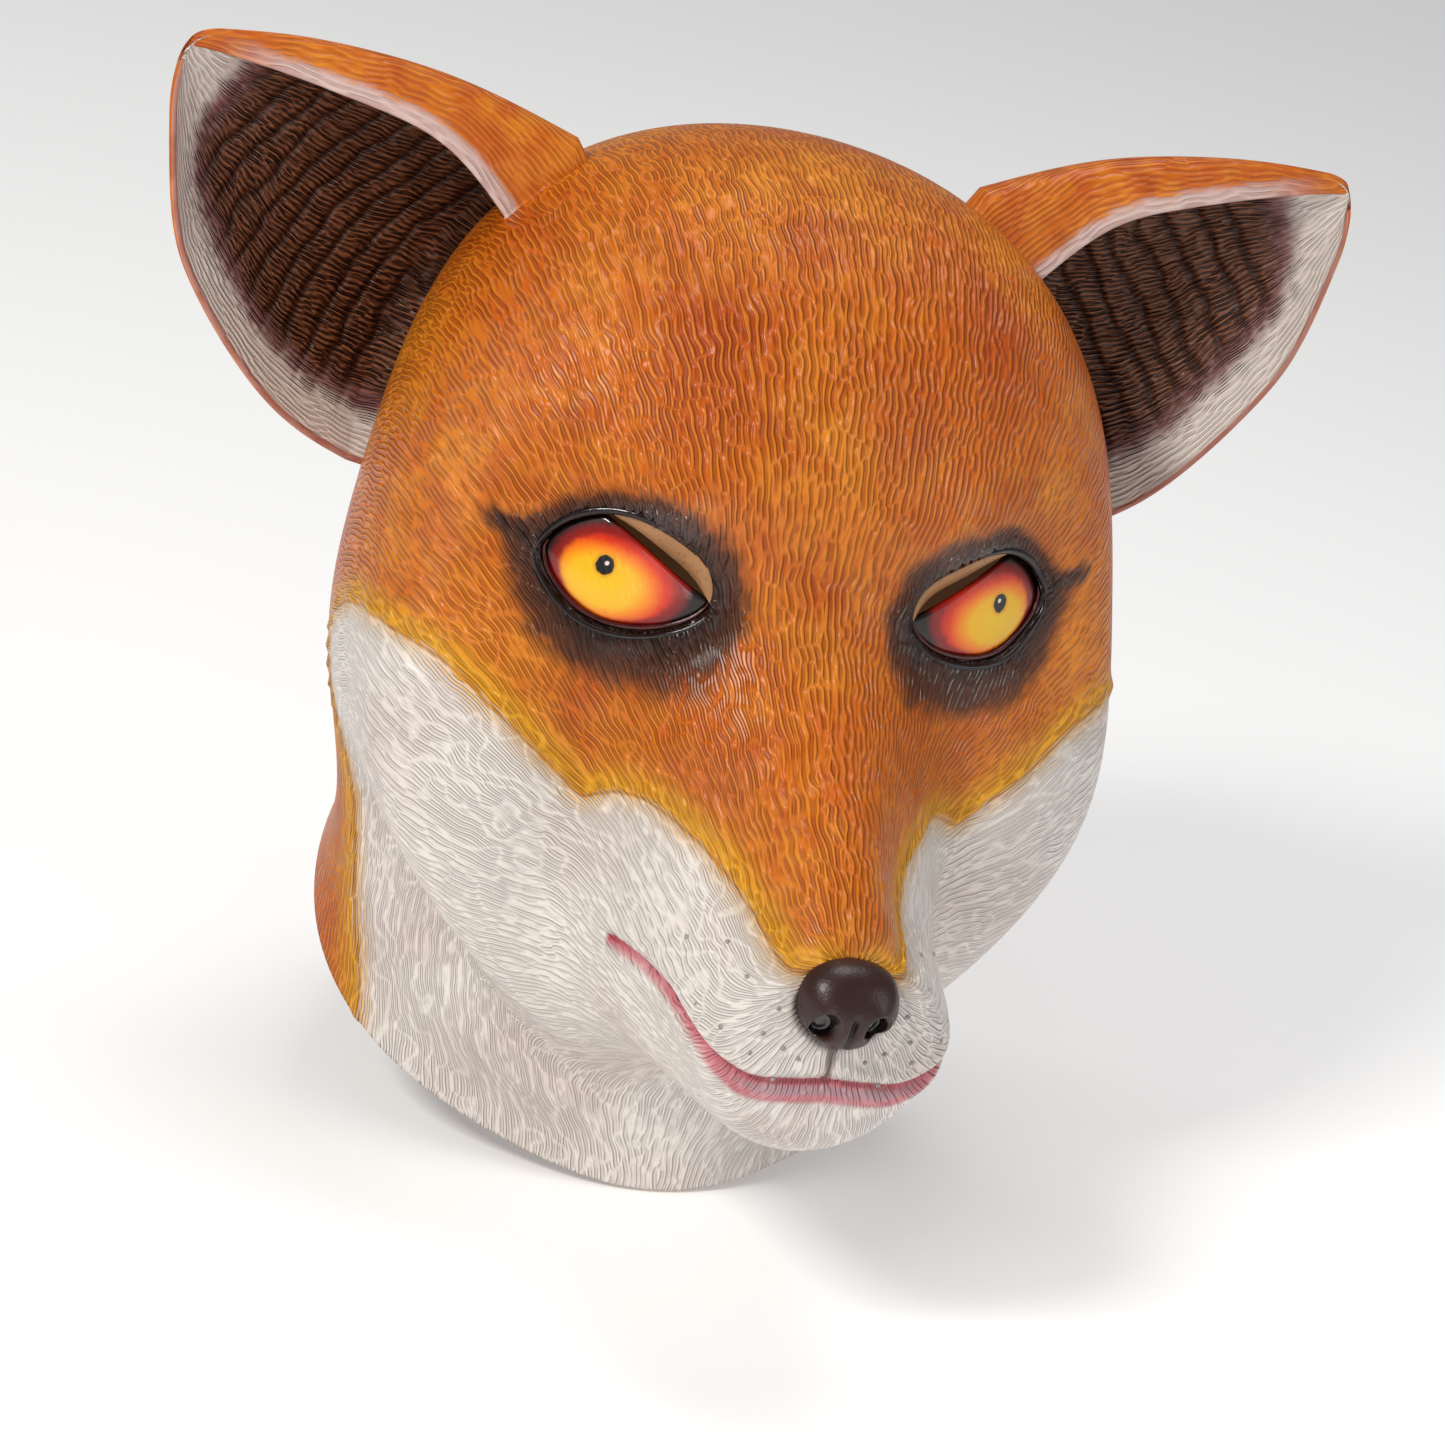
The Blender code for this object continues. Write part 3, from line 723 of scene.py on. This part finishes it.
def eyeDome(name, side):
    spokes, rings = 144, 44
    middle, along, up, out = eyeAxes()
    angle = np.linspace(0, 2 * math.pi, spokes, endpoint=False)
    outline = almond(angle)
    step = almond(angle + 1e-3) - almond(angle - 1e-3)
    inward = units(np.column_stack([-step[:, 1], step[:, 0]]))
    free = np.clip(np.cos((angle - math.radians(120)) * 1.3), 0, 1) ** 0.7
    free[angle > math.pi * 1.1] = 0
    rim = -eyes["lap"] + (eyes["lap"] + eyes["slit"]) * free
    first = outline + inward * rim[:, None]
    centre = np.array([0, -0.15 * eyes["drop"]])
    shares = np.linspace(0, 1, rings) ** 0.8 * 0.995
    flat = np.vstack([first * (1 - share) + centre * share for share in shares])
    across = np.clip(1 - (2 * flat[:, 0] / eyes["length"]) ** 2, 1e-6, 1)
    limit = across**0.625 * np.where(flat[:, 1] > 0, eyes["rise"], eyes["drop"])
    lift = np.clip(across * (1 - (flat[:, 1] / limit) ** 2), 0, 1) ** 0.6
    base = np.array([onSkin(innerTree, s, t) for s, t in flat])
    front = base + out * (lift * (head["wall"] + eyes["bulge"]) - eyes["seatGap"])[:, None]
    back = front - out * eyes["wall"]
    points = np.vstack([front, back])
    faces = sheetFaces(rings, spokes, True)
    count = len(front)
    rimFaces = [(j, (j + 1) % spokes, count + (j + 1) % spokes, count + j) for j in range(spokes)]
    last = (rings - 1) * spokes
    caps = [tuple(last + j for j in range(spokes))]
    allFaces = faces.tolist() + [tuple(reversed([i + count for i in f])) for f in faces.tolist()]
    allFaces += [tuple(reversed(f)) for f in rimFaces] + [tuple(caps[0])]
    values = {"eyePlace": np.column_stack([np.vstack([flat, flat]) / mm, np.zeros(2 * count)])}
    return meshPiece(name, points * [side, 1, 1], allFaces, values, flip=side < 0)


iris = {
    "pupil": (6.8, 2.2, 3.1),
    "core": (5.5, -3.2, 17.5, 11.5),
    "edge": (1.6, -0.4, 21.5, 15.0),
}


def irisPaint():
    p = Paint("painted eye under varnish")
    place = p.direction("eyePlace")
    ripple = p.scaled(p.vector("SUBTRACT", p.noise(300, 3.0, None, 1), (0.5, 0.5, 0.5)), 1.2)
    place = p.vector("ADD", place, ripple)

    def oval(s, t, reachS, reachT):
        near = p.vector("SUBTRACT", place, (s, t, 0.0))
        near = p.vector("DIVIDE", near, (reachS, reachT, 1.0))
        return p.node("VectorMath", {"operation": "LENGTH"}, {0: near}, "Value")

    core, edge = oval(*iris["core"]), oval(*iris["edge"])
    stops = [
        (0.0, (0.80, 0.50, 0.006)), (0.33, (0.82, 0.44, 0.004)), (0.46, (0.84, 0.20, 0.002)),
        (0.58, (0.66, 0.030, 0.002)), (0.70, (0.30, 0.006, 0.002)), (0.84, (0.03, 0.003, 0.002)),
    ]
    color = p.node("ValToRGB", {"stops": stops}, {"Fac": core * 0.5})
    color = p.mix(color, (0.22, 0.004, 0.002), edge.step(0.84, 0.98))
    color = p.mix(color, (0.006, 0.002, 0.002), edge.step(0.98, 1.16))
    s, t, reach = iris["pupil"]
    pupil = oval(s, t, reach, reach)
    color = p.mix(color, (0.62, 0.22, 0.01), pupil.step(1.5, 1.0) * 0.6)
    color = p.mix(color, (0.004, 0.003, 0.003), pupil.step(1.08, 0.92))
    # a painted reflection of the light on the pupil
    paintedGlint = oval(s - 0.4, t + 0.9, 0.8, 0.8)
    color = p.mix(color, (0.75, 0.68, 0.60), paintedGlint.step(1.1, 0.6))
    return p.finish(
        Base_Color=color, Roughness=0.4, Specular_IOR_Level=0.15, Coat_Weight=0.8, Coat_Roughness=0.03
    )


def lidPaint(name, color):
    p = Paint(name)
    shade = p.mix(color, tuple(c * 2 for c in color), p.noise(180, 3.0).step(0.4, 0.7))
    normal = p.relief(p.noise(260, 2.0), 0.5 * mm, 0.6)
    return p.finish(Base_Color=shade, Roughness=0.22, Specular_IOR_Level=0.3, Coat_Weight=0.3, Coat_Roughness=0.08, Normal=normal)


lidBlack = lidPaint("varnished lid black", (0.006, 0.002, 0.002))
lidMaroon = lidPaint("varnished lid maroon", (0.04, 0.004, 0.003))


# a round bead along points, thinner towards its ends
def bead(points, radius):
    turns = 10
    way = units(np.gradient(points, axis=0))
    side = units(np.cross(way, eyeAxes()[3]))
    up = np.cross(side, way)
    taper = np.sin(np.linspace(0, math.pi, len(points))) ** 0.4
    angle = np.linspace(0, 2 * math.pi, turns, endpoint=False)
    rings = [
        points + (radius * taper * math.cos(a))[:, None] * side + (radius * taper * math.sin(a))[:, None] * up
        for a in angle
    ]
    return np.stack(rings, axis=1).reshape(-1, 3), sheetFaces(len(points), turns, True)


def lidBeads(name, side, kind, paint):
    points, faces, count = [], [], 0
    for start, stop, offset, radius, tone in lids["beads"].values():
        if tone != kind:
            continue
        angle = np.radians(np.linspace(start, stop, 110))
        outline = almond(angle)
        step = almond(angle + 1e-3) - almond(angle - 1e-3)
        outer = units(np.column_stack([step[:, 1], -step[:, 0]]))
        flat = outline + outer * offset * mm
        out = eyeAxes()[3]
        line = np.array([onSkin(outerTree, s, t) for s, t in flat]) + out * (0.3 * mm if offset > 0 else -0.5 * mm)
        wave = 0.35 * mm * np.sin(angle * 9)
        line = line + out * wave[:, None] * 0.4
        beadPoints, beadFaces = bead(line, radius * mm)
        points.append(beadPoints)
        faces.append(beadFaces + count)
        count += len(beadPoints)
    piece = meshPiece(name, np.vstack(points) * [side, 1, 1], np.vstack(faces).tolist(), None, flip=side > 0)
    wear(piece, ["head_shell"], "shell_latex", paint)


eyePaint = irisPaint()
for side, suffix in ((1, "left"), (-1, "right")):
    dome = eyeDome("painted_eye_" + suffix, side)
    wear(dome, ["eye_" + suffix], "eye_paint", eyePaint)
    lidBeads("black_lids_" + suffix, side, "lid", lidBlack)
    lidBeads("maroon_lids_" + suffix, side, "maroon", lidMaroon)
print("eyes made")


# ---- the cut edge of the brow over each viewing slit, thick where the lid was trimmed
browEdge = {
    "start": 68,
    "stop": 177,
    "width": 7.4 * mm,
    "lift": 2.6 * mm,
    # around the strip: shares of its width inward from the skin's edge, and of its lift above the skin
    "section": [
        (-0.2, 0.1), (0.0, 0.32), (0.5, 0.15), (0.95, -0.25), (1.0, -0.45), (0.5, -0.55), (0.0, -0.5), (-0.2, -0.5),
    ],
}


def browStrip(name, side):
    middle, along, up, out = eyeAxes()
    angle = np.radians(np.linspace(browEdge["start"], browEdge["stop"], 90))
    outline = almond(angle)
    step = almond(angle + 1e-3) - almond(angle - 1e-3)
    inward = units(np.column_stack([-step[:, 1], step[:, 0]]))
    swell = np.sin(np.linspace(0, math.pi, len(angle))) ** 0.8
    rows = []
    edge = np.array([onSkin(outerTree, s, t) for s, t in outline])
    for share, height in browEdge["section"]:
        shift = inward * (share * browEdge["width"] * swell)[:, None]
        line = edge + shift[:, :1] * along + shift[:, 1:] * up + out * (height * browEdge["lift"] * swell)[:, None]
        rows.append(line)
    count = len(rows)
    points = np.stack(rows, axis=1).reshape(-1, 3)
    faces = sheetFaces(len(angle), count, True)
    return meshPiece(name, points * [side, 1, 1], faces.tolist(), None, flip=side < 0)


def cutLatex():
    p = Paint("cut latex edge")
    speck = p.noise(700, 2.0).step(0.62, 0.72)
    tan = p.mix((0.42, 0.21, 0.08), (0.28, 0.12, 0.04), p.noise(120, 3.0))
    tan = p.mix(tan, (0.10, 0.04, 0.02), speck * 0.7)
    return p.finish(Base_Color=tan, Roughness=0.45, Normal=p.relief(p.noise(400, 3.0), 0.2 * mm, 0.6))


cutTan = cutLatex()
for side, suffix in ((1, "left"), (-1, "right")):
    wear(browStrip("brow_edge_" + suffix, side), ["head_shell"], "shell_latex", cutTan)


# ---- nose
nose = {
    "bulge": 0.014,
    "lap": 0.0027,
    "square": 0.13,
    "spokes": 160,
    "rings": 56,
    "nostril": (8.6 * mm, -5.0 * mm, 4.0 * mm, 5.2 * mm, 7.0 * mm),
}


def nosePad():
    spokes, rings = nose["spokes"], nose["rings"]
    v = np.linspace(0, 2, spokes, endpoint=False)
    sign = np.where(v > 1, -1, 1)[:, None] * [1, 0, 0] + [0, 1, 1]
    v = np.where(v > 1, 2 - v, v)
    lapRing = np.full(len(v), nose["lap"])
    lap = skin(lapRing, v) * sign
    normal = outward(skin, lapRing, v) * sign
    edge = skin(np.zeros(spokes), v) * sign
    out = units(np.cross((1, 0, 0), edge[0] - edge[spokes // 2]))
    down = units(edge[spokes // 2] - edge[0])
    middle = lap.mean(axis=0)
    front = [lap - normal * 0.4 * mm, lap + normal * 0.9 * mm]
    for share in np.linspace(0, 1, rings)[1:-1]:
        turn = share * math.pi / 2
        flat = middle + (lap - middle) * (1.045 * math.cos(turn * 0.985))
        front.append(flat + out * nose["bulge"] * math.sin(turn) ** 0.78)
    front = np.vstack(front)
    x = front[:, 0]
    t = (front - middle) @ down
    corner = 1 + nose["square"] * np.sin(2 * np.arctan2(x, -t)) ** 2 * smooth(2 * mm, -3 * mm, t)
    front = front + (corner - 1)[:, None] * (np.outer(x, (1, 0, 0)) + np.outer(t, down))
    x, t = x * corner, t * corner
    offset, drop, reachX, reachZ, depth = nose["nostril"]
    hollow = np.zeros(len(front))
    for sideSign in (-1, 1):
        a = (x - sideSign * offset) / reachX
        b = (t + drop) / reachZ
        inner = np.sqrt(a**2 + b**2)
        hollow = np.maximum(hollow, smooth(1.25, 0.55, inner))
        tail = bump((x - sideSign * (offset + 3.6 * mm)) / 1, 2.6 * mm) * bump(t + drop - 4.0 * mm, 1.5 * mm)
        hollow = np.maximum(hollow, 0.45 * tail)
    groove = bump(x, 1.0 * mm) * smooth(-1.5 * mm, 3.0 * mm, t)
    wings = bump(np.abs(x) - offset - 0.5 * mm, 4.5 * mm) * bump(t + drop + 6.5 * mm, 4 * mm)
    press = depth * hollow + 1.8 * mm * groove - 0.8 * mm * wings
    front = front - out * press[:, None]
    faces = sheetFaces(rings, spokes, True).tolist()
    faces.append(tuple((rings - 1) * spokes + j for j in range(spokes)))
    values = {"hollow": np.clip(hollow, 0, 1), "groove": groove, "rise": t / mm}
    return meshPiece("nose_pad", front, faces, values)


def noseLatex():
    p = Paint("dark nose latex")
    hollow, groove = p.value("hollow"), p.value("groove")
    brown = p.mix((0.020, 0.006, 0.005), (0.036, 0.012, 0.009), p.noise(70, 3.0))
    brown = p.mix(brown, (0.004, 0.002, 0.002), (hollow.step(0.15, 0.8) + groove * 0.9).clamp())
    pores = p.node("TexVoronoi", {}, {"Vector": p.place(), "Scale": 900.0}, "Distance")
    normal = p.relief(pores, 0.12 * mm, 0.5)
    normal = p.relief(p.noise(350, 2.0) * hollow, 0.8 * mm, 0.8, normal)
    rough = 0.36 - hollow * 0.22
    return p.finish(
        Base_Color=brown,
        Roughness=rough,
        Specular_IOR_Level=0.4,
        Coat_Weight=hollow * 0.9,
        Coat_Roughness=0.05,
        Normal=normal,
    )


nosePiece = nosePad()
wear(nosePiece, ["nose"], "nose_latex", noseLatex())
print("nose made")


# ---- ears: bends from the base to the tip, through the rolled rim, the fold, the back and the edge
ears = {
    "length": 0.150,
    "root": (0.742, 0.0, 0.484),
    "places": (0, 0.3, 0.64, 0.9, 1),
    "stations": {
        "base": (-0.05, 0.02, 0.15, -0.17, 0.09, 0.35, 0.04, 0.39, 0.01, 0.22, 0.12, -0.45),
        "low": (0.13, 0.05, 0.32, 0.08, 0.12, 0.43, 0.32, 0.33, 0.13, 0.43, 0.11, -0.33),
        "middle": (0.36, 0.08, 0.40, 0.35, 0.12, 0.48, 0.55, 0.25, 0.21, 0.65, 0.12, -0.07),
        "high": (0.61, 0.10, 0.45, 0.60, 0.11, 0.50, 0.69, 0.17, 0.36, 0.74, 0.11, 0.19),
        "tip": (0.73, 0.10, 0.47, 0.72, 0.11, 0.50, 0.75, 0.12, 0.45, 0.77, 0.11, 0.38),
    },
    "wall": 2.4 * mm,
    "rows": 150,
    "columns": 110,
    "band": 10 * mm,
    "tipRound": 6.8 * mm,
}


def earPiece(name, side):
    rows, columns = ears["rows"], ears["columns"]
    stations = np.array(list(ears["stations"].values())) * ears["length"]
    bends = spline(1 - (1 - np.linspace(0, 1, rows)) ** 1.3, np.array(ears["places"]), stations)
    across = np.linspace(0, 1, columns)
    sheet = []
    fromRim, fromEdge = [], []
    for row in bends:
        bend = row.reshape(4, 3)
        travel = np.concatenate([[0], np.cumsum(np.linalg.norm(np.diff(bend, axis=0), axis=1))])
        line = spline(across * travel[-1], travel, bend) + placed(ears["root"])
        run = np.concatenate([[0], np.cumsum(np.linalg.norm(np.diff(line, axis=0), axis=1))])
        sheet.append(line)
        fromRim.append(run)
        fromEdge.append(run[-1] - run)
    sheet = np.array(sheet)
    fromRim, fromEdge = np.array(fromRim), np.array(fromEdge)
    girth = fromRim[:, -1]
    spine = sheet[:, columns // 2]
    fromTip = np.linalg.norm(np.diff(spine, axis=0), axis=1)[::-1].cumsum()[::-1]
    inset = 1 - np.clip(np.append(fromTip, 0) / ears["tipRound"], 0, 1)
    inset = ears["tipRound"] * (1 - np.sqrt(1 - inset**2))
    narrow = np.maximum(1 - 2 * inset / girth, 0.04)[:, None, None]
    sheet = spine[:, None] + (sheet - spine[:, None]) * narrow
    acrossWay = units(np.gradient(sheet, axis=1))
    alongWay = units(np.gradient(sheet, axis=0))
    normal = units(np.cross(acrossWay, alongWay))
    length = np.linalg.norm(np.diff(sheet, axis=0), axis=2)
    climb = np.concatenate([np.zeros((1, columns)), np.cumsum(length, axis=0)])
    middle = sheet + normal * ears["wall"] / 2
    tipward = climb[-1:] - climb
    loops, facing, rimAway, edgeAway, climbs = [], [], [], [], []

    def add(points, face, column):
        loops.append(points)
        facing.append(np.full(rows, float(face)))
        rimAway.append(fromRim[:, column])
        edgeAway.append(fromEdge[:, column])
        climbs.append(climb[:, column])

    for k in range(columns):
        add(sheet[:, k] + normal[:, k] * ears["wall"], 1, k)
    for turn in (50, 0, -50):
        a = math.radians(turn)
        swing = math.sin(a) * normal[:, -1] + math.cos(a) * acrossWay[:, -1]
        add(middle[:, -1] + swing * ears["wall"] / 2, math.sin(a), -1)
    for k in range(columns - 1, -1, -1):
        add(sheet[:, k], -1, k)
    for turn in (-60, -20, 20, 60):
        a = math.radians(turn)
        swing = math.sin(a) * normal[:, 0] - math.cos(a) * acrossWay[:, 0]
        add(middle[:, 0] + swing * ears["wall"] / 2, math.sin(a), 0)
    count = len(loops)
    points = np.stack(loops, axis=1).reshape(-1, 3)
    lowest = np.arange(rows * count) < count
    for k, point in enumerate(points):
        spot, away, _, _ = outerTree.find_nearest(Vector(point))
        height = (Vector(point) - spot).dot(away)
        if lowest[k]:
            points[k] = np.array(spot - away * 0.8 * mm)
        elif height < 0:
            points[k] = np.array(spot + away * 0.05 * mm)
    faces = sheetFaces(rows, count, True).tolist()
    faces.append(tuple((rows - 1) * count + j for j in range(count)))
    mirror = np.array([side, 1, 1])
    values = {
        "turn": (np.stack(rimAway, axis=1) / girth[:, None]).ravel(),
        "girth": np.repeat(girth, count) / mm,
        "facing": np.stack(facing, axis=1).ravel(),
        "rimAway": np.stack(rimAway, axis=1).ravel() / mm,
        "edgeAway": np.stack(edgeAway, axis=1).ravel() / mm,
        "climb": np.stack(climbs, axis=1).ravel() / mm,
        "tipAway": np.stack([tipward[:, 0]] * count, axis=1).ravel() / mm,
    }
    return meshPiece(name, points * mirror, faces, values, flip=side < 0)


def earLatex():
    p = Paint("painted ear latex")
    turn, girth = p.value("turn"), p.value("girth")
    facing, rim, edge = p.value("facing"), p.value("rimAway"), p.value("edgeAway")
    climb, tip = p.value("climb"), p.value("tipAway")
    outer = facing.step(0.2, -0.2)
    hair = p.strokes(turn, girth, 2.5, 60, 3.0).step(0.15, 0.85)
    knit = p.strokes(turn, girth, 2.1, 95, 2.6).step(0.15, 0.85)
    streak = p.noise(110, 3.0, p.vector("ADD", p.place(), (0.2, 2.4, 0.9)))
    cloud = p.noise(30, 3.0)

    wobble = (p.noise(60, 2.0) - 0.5) * 9
    band = p.node("Math", {"operation": "FRACT"}, {0: (climb + wobble + edge * 0.12) / (ears["band"] / mm)})
    ridge = band.step(0.0, 0.3) * band.step(1.0, 0.75)

    orange = p.mix(fur["orange"], fur["lightOrange"], (cloud * 0.6 + streak * 0.6).step(0.45, 0.8))
    orange = p.mix(orange, fur["rust"], p.noise(40, 3.0, p.vector("ADD", p.place(), (3, 2, 1))).step(0.55, 0.7) * 0.5)
    # painted shade in the grooves between the strokes, on the orange and on the white
    orange = p.shade(orange, (0.62, 0.42, 0.30), (1 - hair) * 0.7)
    white = p.mix(fur["white"], fur["shade"], (1 - hair) * 0.7)
    # the bowl's dark paint, with painted shade under the rolled rim and painted highlights on the knit strokes and the
    # moulded ridges
    inward = rim.step(12, 40)
    light = knit * (1 - inward * (1 - ridge) * 0.8) * (0.2 + 0.8 * inward)
    bowl = p.mix((0.022, 0.005, 0.003), (0.22, 0.080, 0.035), light)

    frayed = (hair - 0.5) * 2.5 + (streak - 0.5) * 9
    deep = (rim + frayed * 0.5).step(5.0, 17.0) * (edge + frayed).step(9.0, 34.0) * (tip + frayed).step(14.0, 48.0)
    inside = p.mix(white, (0.22, 0.10, 0.10), deep.step(0.05, 0.6))
    inside = p.mix(inside, bowl, deep.step(0.4, 1.0))
    color = p.mix(inside, orange, outer)
    rolled = (rim + frayed * 0.45).step(6.0, 2.5) * outer
    color = p.mix(color, p.mix(white, (0.50, 0.26, 0.26), 0.45), rolled * tip.step(5, 40) * 0.9)
    thinEdge = edge.step(1.4, 0.2) * (1 - outer)
    color = p.mix(color, fur["rust"], thinEdge * 0.8)

    relief = p.relief(hair, 0.45 * mm)
    relief = p.relief((knit * 0.7 + ridge * inward * 0.9) * deep * (1 - outer), 1.1 * mm, 1.0, relief)
    return p.finish(Base_Color=color, Roughness=0.47 - 0.1 * deep, Specular_IOR_Level=0.35, Normal=relief)


earPaint = earLatex()
for side, suffix in ((1, "left"), (-1, "right")):
    wear(earPiece("fox_ear_" + suffix, side), ["ear_" + suffix], "ear_latex", earPaint)
print("ears made")


# ---- whisker pits, small half-sunk beads on the white of the muzzle
whiskers = {
    "radius": 0.85 * mm,
    "places": [
        (0.081, 0.343), (0.050, 0.354), (0.064, 0.484), (0.012, 0.493), (0.041, 0.508), (0.018, 0.577), (0.025, 0.625),
        (0.013, 0.705), (0.023, 0.773), (0.036, 0.690), (0.100, 0.420), (0.012, 0.810),
    ],
}


def whiskerPits():
    points, faces = [], []
    turns, rings = 10, 5
    for side in (1, -1):
        for place in whiskers["places"]:
            u, v = np.array([place[0]]), np.array([place[1]])
            centre, normal = skin(u, v)[0], outward(skin, u, v)[0]
            first = units(np.cross(normal, (0, 0, 1)))
            second = np.cross(normal, first)
            for i in range(rings):
                lift = math.radians(90 * i / (rings - 1) - 12)
                for j in range(turns):
                    a = 2 * math.pi * j / turns
                    spoke = math.cos(a) * first + math.sin(a) * second
                    dot = centre + whiskers["radius"] * (math.cos(lift) * spoke + 0.8 * math.sin(lift) * normal)
                    points.append(dot * [side, 1, 1])
            start = len(points) - turns * rings
            quads = (sheetFaces(rings, turns, True) + start).tolist()
            faces += quads if side < 0 else [tuple(reversed(q)) for q in quads]
    piece = meshPiece("whisker_pits", points, faces)
    p = Paint("whisker pit grey")
    grey = p.mix((0.20, 0.17, 0.16), (0.42, 0.38, 0.36), p.noise(400, 2.0))
    wear(piece, ["muzzle_shell"], "shell_latex", p.finish(Base_Color=grey, Roughness=0.4))


whiskerPits()


# ---- floor, lights and camera
def groundAndLight():
    floor = bpy.data.objects.new("floor", bpy.data.meshes.new("floor"))
    reach, level = 8.0, cadBox[0][2] - 0.0005
    corners = [(-reach, -reach, level), (reach, -reach, level), (reach, reach, level), (-reach, reach, level)]
    floor.data.from_pydata(corners, [], [(0, 1, 2, 3)])
    bpy.context.scene.collection.objects.link(floor)
    p = Paint("pale floor")
    floor.data.materials.append(
        p.finish(Base_Color=(0.85, 0.85, 0.85), Roughness=0.9, Emission_Color=(1, 1, 1), Emission_Strength=0.27)
    )

    lamps = {
        "key": ((-1.5, -1.0, 1.25), 0.45, 32, (1.0, 0.98, 0.94)),
        "fill": ((1.5, -1.3, 0.5), 1.0, 7, (0.95, 0.97, 1.0)),
        "top": ((0.2, 0.3, 1.7), 0.9, 13, (1.0, 1.0, 1.0)),
        "low": ((-0.3, -1.7, -0.05), 0.6, 3, (1.0, 0.98, 0.96)),
    }
    for name, (spot, size, power, color) in lamps.items():
        light = bpy.data.lights.new(name, "AREA")
        light.shape, light.size, light.energy, light.color = "SQUARE", size, power, color
        lamp = bpy.data.objects.new(name, light)
        lamp.location = spot
        aim = Vector((0, -0.08, -0.15)) - Vector(spot)
        lamp.rotation_euler = aim.to_track_quat("-Z", "Y").to_euler()
        bpy.context.scene.collection.objects.link(lamp)
    world = bpy.data.worlds.new("studio")
    world.use_nodes = True
    world.node_tree.nodes["Background"].inputs["Color"].default_value = (1, 1, 1, 1)
    world.node_tree.nodes["Background"].inputs["Strength"].default_value = 0.24
    bpy.context.scene.world = world
    bpy.context.scene.view_settings.view_transform = "Standard"


# the photograph's view: turned a little to the mask's right, from above, with the head tilted
shot = {"azimuth": -20, "elevation": 18, "roll": 12.25, "away": 1.7, "lens": 122.9, "aside": -0.0014, "below": 0.0462}


def cameraAtPhoto():
    a, e, r = (math.radians(shot[k]) for k in ("azimuth", "elevation", "roll"))
    back = Vector((math.sin(a) * math.cos(e), -math.cos(a) * math.cos(e), math.sin(e)))
    right = Vector((math.cos(a), math.sin(a), 0))
    up = back.cross(right)
    turnedRight = math.cos(r) * right + math.sin(r) * up
    turnedUp = math.cos(r) * up - math.sin(r) * right
    camera = bpy.data.objects.new("camera", bpy.data.cameras.new("camera"))
    bpy.context.scene.collection.objects.link(camera)
    camera.data.sensor_width, camera.data.lens = 36, shot["lens"]
    toward = (shot["aside"] * turnedRight - shot["below"] * turnedUp - back).normalized()
    sideways = (turnedRight - toward * turnedRight.dot(toward)).normalized()
    place = Matrix((sideways, sideways.cross(toward), -toward)).transposed().to_4x4()
    place.translation = back * shot["away"] - Vector(seat)
    camera.matrix_world = place
    bpy.context.scene.camera = camera


groundAndLight()
cameraAtPhoto()
print("stage set")
